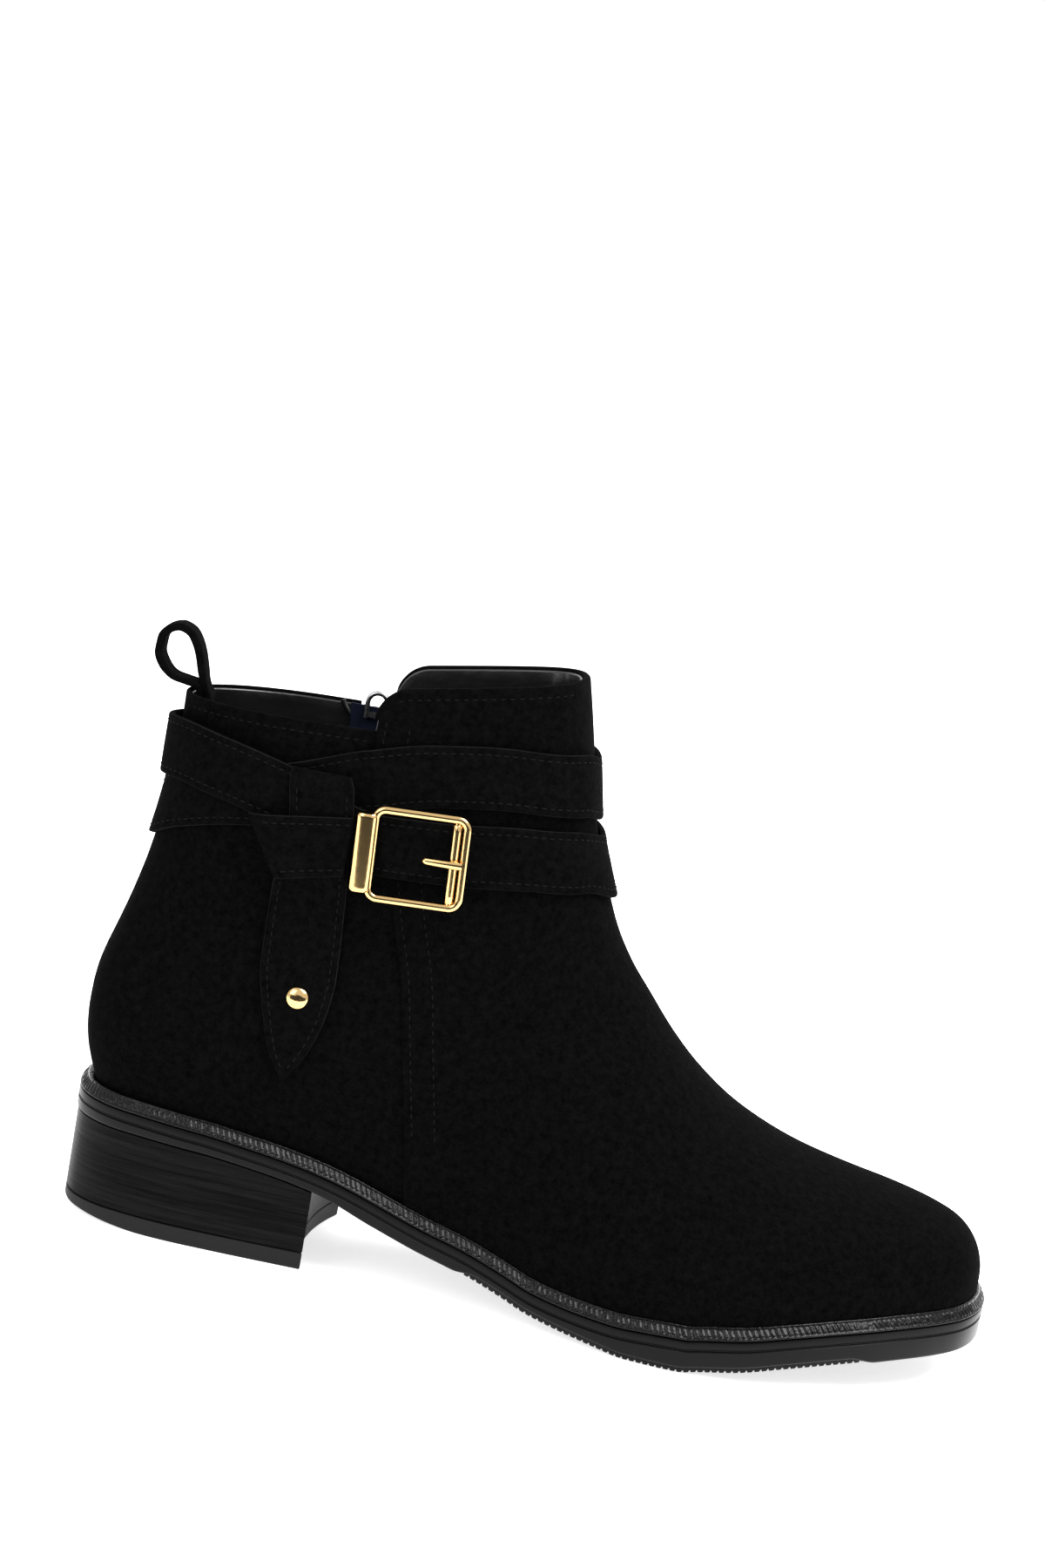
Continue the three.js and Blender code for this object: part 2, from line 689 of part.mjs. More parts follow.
const raised = (height, by) => (x) => height(x) + by;
const WELT_LIP = 0.9;
function weltGeometry() {
  return ringBand([
    { margin: -WELT_IN, height: raised(soleTop, GAP) },
    { margin: WELT_OUT - GAP, height: raised(soleTop, GAP) },
    { margin: WELT_OUT, height: raised(soleTop, WELT_EDGE - 2 * WELT_LIP) },
    { margin: WELT_OUT - WELT_LIP / 2, height: raised(soleTop, WELT_EDGE - WELT_LIP / 2) },
    { margin: WELT_OUT - 2 * WELT_LIP, height: raised(feather, -GAP) },
    { margin: -WELT_IN, height: raised(feather, -GAP) },
  ]);
}

const TREAD_START = 0.435;
const TREAD_END = 0.9;
const TREAD_RAMP = 0.03;
const base = (x) => ground(x) + TREAD * Math.min(
  ease((shareAt(x) - TREAD_START) / TREAD_RAMP),
  ease((TREAD_END - shareAt(x)) / TREAD_RAMP),
);
const GROOVE_DOWN = 2.7;
const GROOVE_DEEP = 0.5;
const EDGE_ROUND = 0.8;
function outsoleGeometry() {
  const groove = raised(soleTop, -GROOVE_DOWN);
  const body = solid(plate([
    { margin: WELT_OUT - EDGE_ROUND, height: base },
    { margin: WELT_OUT, height: raised(base, EDGE_ROUND) },
    { margin: WELT_OUT, height: raised(groove, -GROOVE_DEEP) },
    { margin: WELT_OUT - GROOVE_DEEP, height: groove },
    { margin: WELT_OUT, height: raised(groove, GROOVE_DEEP) },
    { margin: WELT_OUT, height: soleTop },
  ]));
  const pad = solid(plate([
    { margin: WELT_OUT - TREAD_INSET, height: ground },
    { margin: WELT_OUT - TREAD_INSET, height: raised(base, EDGE_ROUND) },
  ]));
  const start = along(TREAD_START + TREAD_RAMP / 2);
  const end = along(TREAD_END - TREAD_RAMP / 2);
  const fore = solid(sidePrism([[start, -FAR], [end, -FAR], [end, FAR], [start, FAR]], -FAR, FAR));
  return geometryOf(body.add(pad.intersect(fore)));
}

function insoleGeometry() {
  const margin = -WELT_IN - 2 * GAP;
  return plate([
    { margin, height: raised(soleTop, GAP) },
    { margin, height: raised(feather, INSOLE_RISE - 1) },
    { margin: margin - 1, height: raised(feather, INSOLE_RISE) },
  ]);
}

// The heel block and its top lift share one plan: round at the back, hollow at the breast
const soleHalf = {
  outer: lookup((u) => planPoint(u / 2, WELT_OUT).toArray(), 0, 1),
  inner: lookup((u) => planPoint(1 - u / 2, WELT_OUT).toArray(), 0, 1),
};
const SOLE_BACK = HEEL_X - WELT_OUT;
const breastX = (v) => HEEL_DEPTH / 2 - BREAST_HOLLOW * (1 - v * v) + BREAST_SKEW * (v + 1) / 2;
const rollFrom = SOLE_BACK + HEEL_ROLL_LENGTH;
const heelFloor = (x) => HEEL_ROLL * ease((rollFrom - x) / HEEL_ROLL_LENGTH);
const HEEL_ROWS = 12;
const HEEL_ACROSS = 6;
const heelWide = Math.abs(soleHalf.outer(HEEL_X + HEEL_DEPTH / 2)) - HEEL_INSET;
const heelTaper = HEEL_BOTTOM_WIDTH / 2 / heelWide;

// level is 0 at the floor and 1 under the outsole
function heelPoint(u, v, level) {
  const run = 1 - Math.cos(Math.PI * u / 2);
  const planX = mix(SOLE_BACK, breastX(v), run);
  const side = v < 0 ? 'outer' : 'inner';
  const half = Math.max(0, Math.abs(soleHalf[side](planX)) - HEEL_INSET * Math.min(1, 4 * run));
  const back = SOLE_BACK + mix(HEEL_TUCK, HEEL_INSET, level);
  return [mix(back, breastX(v), run), v * half * mix(heelTaper, 1, level)];
}

// A heel piece between two heights, each a function of level and x
function heelPiece(levels) {
  const sheets = levels.map(({ level, height }) => {
    const sheet = [];
    for (let i = 0; i <= HEEL_ROWS; i += 1) {
      const row = [];
      for (let j = 0; j <= HEEL_ACROSS; j += 1) {
        const [x, y] = heelPoint(i / HEEL_ROWS, 2 * j / HEEL_ACROSS - 1, level);
        row.push(new THREE.Vector3(x, y, height(x)));
      }
      sheet.push(row);
    }
    return sheet;
  });
  const list = [];
  const low = sheets[0];
  const high = sheets.at(-1);
  for (let i = 0; i < HEEL_ROWS; i += 1) {
    for (let j = 0; j < HEEL_ACROSS; j += 1) {
      quad(list, low[i][j], low[i][j + 1], low[i + 1][j + 1], low[i + 1][j]);
      quad(list, high[i][j + 1], high[i][j], high[i + 1][j], high[i + 1][j + 1]);
    }
  }
  for (let k = 0; k + 1 < sheets.length; k += 1) {
    const [a, b] = [sheets[k], sheets[k + 1]];
    for (let i = 0; i < HEEL_ROWS; i += 1) {
      quad(list, a[i][0], a[i + 1][0], b[i + 1][0], b[i][0]);
      quad(list, a[i + 1][HEEL_ACROSS], a[i][HEEL_ACROSS], b[i][HEEL_ACROSS], b[i + 1][HEEL_ACROSS]);
    }
    for (let j = 0; j < HEEL_ACROSS; j += 1) {
      quad(list, a[HEEL_ROWS][j], a[HEEL_ROWS][j + 1], b[HEEL_ROWS][j + 1], b[HEEL_ROWS][j]);
    }
  }
  return weld(list);
}

const liftLevel = TOP_LIFT / HEEL_HEIGHT;
function heelStackGeometry() {
  return heelPiece([
    { level: liftLevel, height: () => TOP_LIFT + GAP },
    { level: 1, height: raised(base, -GAP) },
  ]);
}

function topLiftGeometry() {
  return heelPiece([
    { level: 0, height: heelFloor },
    { level: liftLevel, height: () => TOP_LIFT },
  ]);
}

// The shaft seen as a ring: turn 0 is the back, 1 the front by the outer side,
// and past 1 it goes on over the inner side to the back again
function shaftPoint(turn, z, lift) {
  const at = (t, height) => {
    const wound = Math.abs(t > 1 ? 2 - t : t);
    const s = (1 - Math.cos(Math.PI * wound)) / 2;
    const hand = t < 0 || t > 1 ? 1 : -1;
    return facePoint(mix(backX(height), frontX(height), s), height, hand);
  };
  const forward = at(turn + 0.004, z).sub(at(turn - 0.004, z));
  const up = at(turn, z + 0.3).sub(at(turn, z - 0.3));
  const place = at(turn, z);
  const panel = panelLift(place.x, z, turn < 0 || turn > 1 ? 1 : -1);
  return place.addScaledVector(forward.cross(up).normalize(), lift + panel);
}

// How far the front panel lifts what lies over the upper at a place in the side view
const PANEL_RAMP = 3;
function panelLift(x, z, hand) {
  const edge = hand < 0 ? seamX(z) : zipX(z) + ZIP_SLOT / 2;
  return VAMP_STEP * ease((x - edge + PANEL_RAMP + 1) / PANEL_RAMP);
}

// A girth scale at strap height turns lengths along the strap into turns
const girthZ = backTop - STRAP_WIDTH;
const GIRTH_STEPS = 120;
const girth = (() => {
  const rows = [[0, 0]];
  for (let i = 1; i <= GIRTH_STEPS; i += 1) {
    const here = shaftPoint(i / GIRTH_STEPS, girthZ, 0);
    const before = shaftPoint((i - 1) / GIRTH_STEPS, girthZ, 0);
    rows.push([i / GIRTH_STEPS, rows[i - 1][1] + here.distanceTo(before)]);
  }
  const path = (u) => rows[Math.round(u * GIRTH_STEPS)];
  return { length: lookup(path, 0, 1, GIRTH_STEPS), turn: lookup(path, 1, 0, GIRTH_STEPS) };
})();
const halfGirth = girth.length(1);
function turnToLength(turn) {
  if (turn < 0) return -girth.length(-turn);
  return turn > 1 ? 2 * halfGirth - girth.length(2 - turn) : girth.length(turn);
}
function lengthToTurn(length) {
  if (length < 0) return -girth.turn(-length);
  return length > halfGirth ? 2 - girth.turn(2 * halfGirth - length) : girth.turn(length);
}

// A strap wound on the shaft. turn: place round it, height: share of the back rise over the seat,
// layer: how many strap thicknesses its underside stands off the upper
function strapGeometry(rows, steps) {
  const first = rows[0].turn;
  const final = rows.at(-1).turn;
  const height = table(rows, 'turn', 'height');
  const layer = table(rows, 'turn', 'layer');
  const zAt = (l) => seatZ + BACK_RISE * height(lengthToTurn(l));
  const top = [];
  const bottom = [];
  for (let i = 0; i <= steps; i += 1) {
    const l = turnToLength(mix(first, final, i / steps));
    const slope = Math.atan2(zAt(l + 1) - zAt(l - 1), 2);
    const topRow = [];
    const bottomRow = [];
    for (const k of [-1, 0, 1]) {
      const shift = k * STRAP_WIDTH / 2;
      const turn = lengthToTurn(l - shift * Math.sin(slope));
      const z = zAt(l) + shift * Math.cos(slope);
      const low = STRAP_GAP + layer(lengthToTurn(l)) * (STRAP_THICK + GAP);
      topRow.push(shaftPoint(turn, z, low + STRAP_THICK));
      bottomRow.push(shaftPoint(turn, z, low));
    }
    top.push(topRow);
    bottom.push(bottomRow);
  }
  return skin(top, bottom, false);
}

const STRAP_UPPER = [
  { turn: -0.425, height: 0.718, layer: 0 },
  { turn: -0.2, height: 0.707, layer: 0 },
  { turn: 0, height: 0.699, layer: 0 },
  { turn: 0.14, height: 0.749, layer: 0 },
  { turn: 0.244, height: 0.789, layer: 0 },
  { turn: 0.367, height: 0.828, layer: 0 },
  { turn: 0.51, height: 0.907, layer: 0 },
  { turn: 0.595, height: 0.942, layer: 0 },
  { turn: 0.75, height: 0.968, layer: 0 },
  { turn: 0.905, height: 0.966, layer: 0 },
  { turn: 1, height: 0.947, layer: 0 },
  { turn: 1.12, height: 0.956, layer: 0 },
  { turn: 1.3, height: 0.949, layer: 0 },
  { turn: 1.475, height: 0.927, layer: 0 },
];
const STRAP_CROSS = [
  { turn: -0.425, height: 0.9, layer: 0 },
  { turn: -0.2, height: 0.877, layer: 0 },
  { turn: -0.06, height: 0.861, layer: 0.2 },
  { turn: 0.01, height: 0.862, layer: 0.8 },
  { turn: 0.07, height: 0.866, layer: 1 },
  { turn: 0.15, height: 0.871, layer: 1 },
  { turn: 0.244, height: 0.861, layer: 1 },
  { turn: 0.36, height: 0.83, layer: 1 },
  { turn: 0.4, height: 0.805, layer: 1 },
  { turn: 0.43, height: 0.784, layer: 1 },
  { turn: 0.455, height: 0.767, layer: 1 },
  { turn: 0.48, height: 0.757, layer: 1.15 },
  { turn: 0.51, height: 0.752, layer: 1.15 },
  { turn: 0.565, height: 0.755, layer: 0.7 },
  { turn: 0.63, height: 0.761, layer: 0.2 },
  { turn: 0.68, height: 0.77, layer: 0 },
  { turn: 0.758, height: 0.781, layer: 0 },
  { turn: 0.861, height: 0.783, layer: 0 },
  { turn: 1, height: 0.756, layer: 0.1 },
  { turn: 1.12, height: 0.77, layer: 0.15 },
  { turn: 1.3, height: 0.767, layer: 0 },
  { turn: 1.475, height: 0.756, layer: 0 },
];

// The buckle's place in the side view: at is a share of length, rise a share of the back rise,
// layer how many strap thicknesses its underside stands off the upper
const BUCKLE_AT = 0.3196;
const BUCKLE_RISE = 0.744;
const BUCKLE_LAYER = 2.55;
const clipFront = CLIP_GRIP - BUCKLE_LENGTH / 2;
const clipBack = clipFront - CLIP_LENGTH;

// The tab behind the buckle, laid on the outer side by rows. height: share of the back rise,
// shift and half: its middle's place and its half width as shares of the tab's width
const TAB = [
  { height: 0.905, shift: -0.129, half: 0.44, layer: 2 },
  { height: 0.88, shift: -0.124, half: 0.45, layer: 2 },
  { height: 0.782, shift: -0.053, half: 0.45, layer: 2 },
  { height: 0.713, shift: -0.052, half: 0.47, layer: 2 },
  { height: 0.66, shift: -0.053, half: 0.495, layer: 2 },
  { height: 0.605, shift: -0.053, half: 0.52, layer: 0.9 },
  { height: 0.54, shift: -0.042, half: 0.53, layer: 0.25 },
  { height: 0.487, shift: -0.026, half: 0.54, layer: 0.1 },
  { height: 0.408, shift: 0, half: 0.54, layer: 0.1 },
  { height: 0.33, shift: 0.033, half: 0.48, layer: 0.1 },
  { height: 0.261, shift: 0.052, half: 0.38, layer: 0.1 },
  { height: 0.197, shift: 0.048, half: 0.24, layer: 0.1 },
  { height: 0.137, shift: 0.059, half: 0.02, layer: 0.1 },
];
const tabUp = [...TAB].reverse();
const tabShift = table(tabUp, 'height', 'shift');
const tabHalf = table(tabUp, 'height', 'half');
const tabLayer = table(tabUp, 'height', 'layer');
const tabX = (height) => along(BUCKLE_AT) - TAB_BACK + tabShift(height) * TAB_WIDTH;

function sidePoint(x, z, hand, lift) {
  const forward = facePoint(x + 0.4, z, hand).sub(facePoint(x - 0.4, z, hand));
  const up = facePoint(x, z + 0.4, hand).sub(facePoint(x, z - 0.4, hand));
  const normal = forward.cross(up).normalize();
  if (normal.y * hand < 0) normal.negate();
  const panel = lift > 0 ? panelLift(x, z, hand) : 0;
  return facePoint(x, z, hand).addScaledVector(normal, lift + panel);
}

function tabGeometry() {
  const steps = 16;
  const top = [];
  const bottom = [];
  for (let i = 0; i <= steps; i += 1) {
    const h = mix(TAB[0].height, TAB.at(-1).height, Math.sin(Math.PI / 2 * i / steps));
    const z = seatZ + BACK_RISE * h;
    const low = STRAP_GAP + tabLayer(h) * (STRAP_THICK + GAP);
    const xs = [-1, 0, 1].map((k) => tabX(h) + k * tabHalf(h) * TAB_WIDTH);
    top.push(xs.map((x) => sidePoint(x, z, -1, low + STRAP_THICK)));
    bottom.push(xs.map((x) => sidePoint(x, z, -1, low)));
  }
  return skin(top, bottom, false);
}

// The strap that carries the buckle, folded on a slant at its rear end.
// back: share of its length behind the clip, height: share of the back rise, layer as above
const BUCKLE_STRAP = [
  { back: 0, height: 0.738, layer: 3 },
  { back: 0.574, height: 0.716, layer: 3 },
  { back: 0.85, height: 0.704, layer: 3 },
  { back: 1, height: 0.699, layer: 2.6 },
];
const FOLD_SLANT = 4.6;
function buckleStrapGeometry() {
  const front = along(BUCKLE_AT) + clipBack - CLIP_SPACE;
  const height = table(BUCKLE_STRAP, 'back', 'height');
  const layer = table(BUCKLE_STRAP, 'back', 'layer');
  const steps = 8;
  const top = [];
  const bottom = [];
  for (let i = 0; i <= steps; i += 1) {
    const back = 1 - i / steps;
    const middle = front - back * BUCKLE_STRAP_LENGTH;
    const z = seatZ + BACK_RISE * height(back);
    const low = STRAP_GAP + layer(back) * (STRAP_THICK + GAP);
    const places = [1, 0, -1].map((k) => [middle - k * FOLD_SLANT * back, z + k * STRAP_WIDTH / 2]);
    top.push(places.map(([x, zz]) => sidePoint(x, zz, -1, low + STRAP_THICK)));
    bottom.push(places.map(([x, zz]) => sidePoint(x, zz, -1, low)));
  }
  return skin(top, bottom, false);
}

// A frame on the upper's face: local X along it, local Y up, local Z outward
function faceFrame(x, z, hand, lift) {
  const origin = sidePoint(x, z, hand, lift);
  const normal = sidePoint(x, z, hand, 1).sub(sidePoint(x, z, hand, 0)).normalize();
  const up = sidePoint(x, z + 0.5, hand, 0).sub(sidePoint(x, z - 0.5, hand, 0)).normalize();
  const acrossAxis = up.clone().cross(normal).normalize();
  const upAxis = normal.clone().cross(acrossAxis);
  return new THREE.Matrix4().makeBasis(acrossAxis, upAxis, normal).setPosition(origin);
}

function roundedOutline(width, height, radius, path = new THREE.Shape()) {
  const [w, h] = [width / 2, height / 2];
  path.moveTo(-w + radius, -h);
  path.lineTo(w - radius, -h);
  path.absarc(w - radius, -h + radius, radius, -Math.PI / 2, 0, false);
  path.lineTo(w, h - radius);
  path.absarc(w - radius, h - radius, radius, 0, Math.PI / 2, false);
  path.lineTo(-w + radius, h);
  path.absarc(-w + radius, h - radius, radius, Math.PI / 2, Math.PI, false);
  path.lineTo(-w, -h + radius);
  path.absarc(-w + radius, -h + radius, radius, Math.PI, 1.5 * Math.PI, false);
  return path;
}

function block(width, height, depth, x = 0, y = 0, z = 0) {
  const geometry = new THREE.BoxGeometry(width, height, depth);
  geometry.translate(x, y, z);
  return stripped(geometry);
}

// Buckle: an open frame with a second bar and a short prong, its near bar held in a flat clip
const buckleTurn = new THREE.Matrix4().makeRotationZ(THREE.MathUtils.degToRad(3));
const buckleFrame = () => faceFrame(
  along(BUCKLE_AT),
  seatZ + BACK_RISE * BUCKLE_RISE,
  -1,
  STRAP_GAP + BUCKLE_LAYER * (STRAP_THICK + GAP),
).multiply(buckleTurn);

function buckleGeometry() {
  const shape = roundedOutline(BUCKLE_LENGTH, BUCKLE_HEIGHT, BUCKLE_CORNER);
  const hole = roundedOutline(
    BUCKLE_LENGTH - 2 * BUCKLE_BAR,
    BUCKLE_HEIGHT - 2 * BUCKLE_BAR,
    BUCKLE_CORNER / 2,
    new THREE.Path(),
  );
  shape.holes.push(hole);
  const ring = new THREE.ExtrudeGeometry(shape, {
    depth: BUCKLE_THICK - 2 * BUCKLE_BEVEL,
    bevelThickness: BUCKLE_BEVEL,
    bevelSize: BUCKLE_BEVEL,
    bevelOffset: -BUCKLE_BEVEL,
    bevelSegments: 1,
    curveSegments: 4,
  });
  ring.translate(0, 0, BUCKLE_BEVEL);
  const farEdge = BUCKLE_LENGTH / 2;
  const rodX = farEdge - BUCKLE_BAR - ROD_SPACE - ROD_WIDTH / 2;
  const rodHeight = BUCKLE_HEIGHT - BUCKLE_BAR;
  const bar = block(ROD_WIDTH, rodHeight, 0.8 * BUCKLE_THICK, rodX, 0, BUCKLE_THICK / 2);
  const prongX = farEdge - (BUCKLE_BAR + PRONG_LENGTH) / 2;
  const prongZ = BUCKLE_THICK + PRONG_THICK / 8;
  const prong = block(PRONG_LENGTH, PRONG_WIDTH, PRONG_THICK, prongX, 0, prongZ);
  const whole = solid(stripped(ring)).add(solid(bar)).add(solid(prong));
  return geometryOf(whole).applyMatrix4(buckleFrame());
}

function clipGeometry() {
  const room = BUCKLE_THICK + 2 * GAP;
  const depth = room + 2 * CLIP_WALL;
  const middle = (clipFront + clipBack) / 2;
  const shell = solid(block(CLIP_LENGTH, CLIP_HEIGHT, depth, middle, 0, BUCKLE_THICK / 2));
  const channel = solid(block(CLIP_LENGTH, FAR, room, middle + CLIP_WALL, 0, BUCKLE_THICK / 2));
  return geometryOf(shell.subtract(channel)).applyMatrix4(buckleFrame());
}

const RIVET_RISE_SHARE = 0.342;
const RIVET_AHEAD = 0.6;
const RIVET_RIM = 0.35;
function rivetGeometry() {
  const radius = RIVET_WIDTH / 2;
  const profile = [new THREE.Vector2(0, 0), new THREE.Vector2(radius, 0)];
  const steps = 4;
  for (let i = 0; i <= steps; i += 1) {
    const angle = Math.PI / 2 * i / steps;
    const up = RIVET_RISE * mix(RIVET_RIM, 1, Math.sin(angle));
    profile.push(new THREE.Vector2(i === steps ? 0 : radius * Math.cos(angle), up));
  }
  const cap = new THREE.LatheGeometry(profile, 20);
  cap.rotateX(Math.PI / 2);
  const lift = STRAP_GAP + (tabLayer(RIVET_RISE_SHARE) + 1) * (STRAP_THICK + GAP);
  const x = tabX(RIVET_RISE_SHARE) + RIVET_AHEAD;
  const seat = faceFrame(x, seatZ + BACK_RISE * RIVET_RISE_SHARE, -1, lift);
  return stripped(cap).applyMatrix4(seat);
}

// The pull loop: one band, both of its ends sewn down inside the back collar.
// reach: share of the loop's reach behind that end, rise: share of its height over the collar
const LOOP_PATH = [
  { end: 'rear', reach: 0, rise: -0.526 },
  { end: 'rear', reach: 0, rise: -0.129 },
  { end: 'rear', reach: 0.07, rise: 0.085 },
  { end: 'rear', reach: 0.325, rise: 0.123 },
  { end: 'rear', reach: 0.59, rise: 0.158 },
  { end: 'rear', reach: 0.862, rise: 0.316 },
  { end: 'rear', reach: 1, rise: 0.55 },
  { end: 'rear', reach: 0.985, rise: 0.772 },
  { end: 'rear', reach: 0.832, rise: 0.942 },
  { end: 'rear', reach: 0.628, rise: 1 },
  { end: 'rear', reach: 0.424, rise: 0.947 },
  { end: 'rear', reach: 0.256, rise: 0.784 },
  { end: 'front', reach: 0.307, rise: 0.573 },
  { end: 'front', reach: 0.226, rise: 0.357 },
  { end: 'front', reach: 0.131, rise: 0.129 },
  { end: 'front', reach: 0, rise: -0.094 },
  { end: 'front', reach: 0, rise: -0.526 },
];
function pullLoopGeometry() {
  const rear = backX(backTop) + WALL + GAP + LOOP_ROOM + LOOP_THICK / 2;
  const endX = { rear, front: rear + LOOP_THICK + GAP };
  const points = LOOP_PATH.map((row) => [
    endX[row.end] - row.reach * LOOP_REACH,
    backTop + row.rise * LOOP_HEIGHT,
  ]);
  const path = pathOf(points);
  const steps = 44;
  const left = [];
  const right = [];
  for (let i = 0; i <= steps; i += 1) {
    const u = i / steps;
    const [x, z] = path(u);
    const ahead = path(Math.min(1, u + 0.004));
    const behind = path(Math.max(0, u - 0.004));
    const length = Math.hypot(ahead[0] - behind[0], ahead[1] - behind[1]);
    const nx = (behind[1] - ahead[1]) / length;
    const nz = (ahead[0] - behind[0]) / length;
    left.push([x + nx * LOOP_THICK / 2, z + nz * LOOP_THICK / 2]);
    right.unshift([x - nx * LOOP_THICK / 2, z - nz * LOOP_THICK / 2]);
  }
  return sidePrism([...left, ...right], -LOOP_WIDTH / 2, LOOP_WIDTH / 2);
}

// Zip on the inner side: its tape inside the wall, its chain in the slot, slider and pull
function zipRibbon(half, fromZ, toZ, outLift, inLift, steps) {
  const outer = [];
  const inner = [];
  for (let i = 0; i <= steps; i += 1) {
    const z = mix(fromZ, toZ, i / steps);
    const xs = [half, 0, -half].map((d) => zipX(z) + d);
    outer.push(xs.map((x) => sidePoint(x, z, 1, outLift)));
    inner.push(xs.map((x) => sidePoint(x, z, 1, inLift)));
  }
  return skin(outer, inner, false);
}
const zipTapeGeometry = () => zipRibbon(
  TAPE_WIDTH / 2, ZIP_BOTTOM - 3, zipTopZ - 2, -WALL - 2 * GAP, -WALL - 2 * GAP - TAPE_THICK, 12,
);
const CHAIN_THICK = 1.2;
const CHAIN_DOWN = 0.5;
const zipChainGeometry = () => zipRibbon(
  ZIP_SLOT / 2 - GAP, ZIP_BOTTOM + GAP, zipTopZ - 1, -CHAIN_DOWN, -CHAIN_DOWN - CHAIN_THICK, 12,
);

const sliderZ = zipTopZ - 1.5 - SLIDER_LENGTH / 2;
const sliderFrame = () => faceFrame(zipX(sliderZ), sliderZ, 1, GAP - CHAIN_DOWN);
const hingeUp = SLIDER_LENGTH * 0.22;
const hingeOut = SLIDER_THICK + AXLE + EYE_WALL + GAP;
const lugApart = EYE_WIDTH / 2 + GAP + LUG_WIDTH / 2;
function sliderGeometry() {
  const outline = roundedOutline(SLIDER_WIDTH - GAP, SLIDER_LENGTH, 2);
  const body = new THREE.ExtrudeGeometry(outline, {
    depth: SLIDER_THICK,
    bevelEnabled: false,
    curveSegments: 3,
  });
  const lugHeight = hingeOut + AXLE + EYE_WALL - SLIDER_THICK + GAP;
  const lugZ = SLIDER_THICK - GAP + lugHeight / 2;
  const lugs = [-1, 1].map((k) => block(LUG_WIDTH, LUG_DEPTH, lugHeight, k * lugApart, hingeUp, lugZ));
  const axle = new THREE.CylinderGeometry(AXLE, AXLE, 2 * lugApart, 12);
  axle.rotateZ(Math.PI / 2);
  axle.translate(0, hingeUp, hingeOut);
  let whole = solid(stripped(body)).add(solid(stripped(axle)));
  for (const lug of lugs) whole = whole.add(solid(lug));
  return geometryOf(whole).applyMatrix4(sliderFrame());
}

function zipPullGeometry() {
  const bore = AXLE + GAP;
  const eye = new THREE.CylinderGeometry(bore + EYE_WALL, bore + EYE_WALL, EYE_WIDTH, 16);
  eye.rotateZ(Math.PI / 2);
  const hollow = new THREE.CylinderGeometry(bore, bore, EYE_WIDTH + 2 * GAP, 16);
  hollow.rotateZ(Math.PI / 2);
  const neckY = -bore - PULL_NECK / 2;
  const neck = block(EYE_WIDTH, PULL_NECK, PULL_THICK, 0, neckY, 0);
  const plateLength = PULL_LENGTH - PULL_NECK;
  const tab = new THREE.ExtrudeGeometry(
    roundedOutline(PULL_WIDTH, plateLength, PULL_WIDTH / 2 - 0.2),
    { depth: PULL_THICK, bevelEnabled: false, curveSegments: 4 },
  );
  tab.translate(0, 1 - PULL_NECK - plateLength / 2, -PULL_THICK / 2);
  const hole = new THREE.CylinderGeometry(PULL_HOLE / 2, PULL_HOLE / 2, 2 * PULL_THICK, 12);
  hole.rotateX(Math.PI / 2);
  hole.translate(0, 1 - PULL_LENGTH + PULL_WIDTH / 2, 0);
  const whole = solid(stripped(eye)).add(solid(neck)).add(solid(stripped(tab)))
    .subtract(solid(stripped(hollow))).subtract(solid(stripped(hole)));
  const geometry = geometryOf(whole);
  geometry.translate(0, hingeUp, hingeOut);
  return geometry.applyMatrix4(sliderFrame());
}

// Materials and the finished group
const material = (color, roughness, metalness = 0) => (
  new THREE.MeshStandardMaterial({ color, roughness, metalness })
);
const suede = material('#1b1a1b', 0.95);
const polished = material('#151516', 0.35);
const lining = material('#161617', 0.45);
const gold = material('#d8ac52', 0.2, 1);
const dark = material('#4a4a4d', 0.3, 1);
const navy = material('#141a2c', 0.8);

const boot = new THREE.Group();
function piece(name, geometry, finish) {
  const mesh = new THREE.Mesh(geometry, finish);
  mesh.name = name;
  boot.add(mesh);
}

piece('upper', upperGeometry(), suede);
piece('insole', insoleGeometry(), lining);
piece('welt', weltGeometry(), polished);
piece('outsole', outsoleGeometry(), polished);
piece('heel_stack', heelStackGeometry(), polished);
piece('top_lift', topLiftGeometry(), polished);
piece('strap_upper', strapGeometry(STRAP_UPPER, 50), suede);
piece('strap_cross', strapGeometry(STRAP_CROSS, 50), suede);
piece('strap_tab', tabGeometry(), suede);
piece('buckle_strap', buckleStrapGeometry(), suede);
piece('buckle_clip', clipGeometry(), gold);
piece('buckle_frame', buckleGeometry(), gold);
piece('rivet', rivetGeometry(), gold);
piece('pull_loop', pullLoopGeometry(), suede);
piece('zip_tape', zipTapeGeometry(), navy);
piece('zip_chain', zipChainGeometry(), dark);
piece('zip_slider', sliderGeometry(), dark);
piece('zip_pull', zipPullGeometry(), dark);

export default boot;
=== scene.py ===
import math
import bmesh
import bpy
import numpy as np
from mathutils import Matrix, Vector


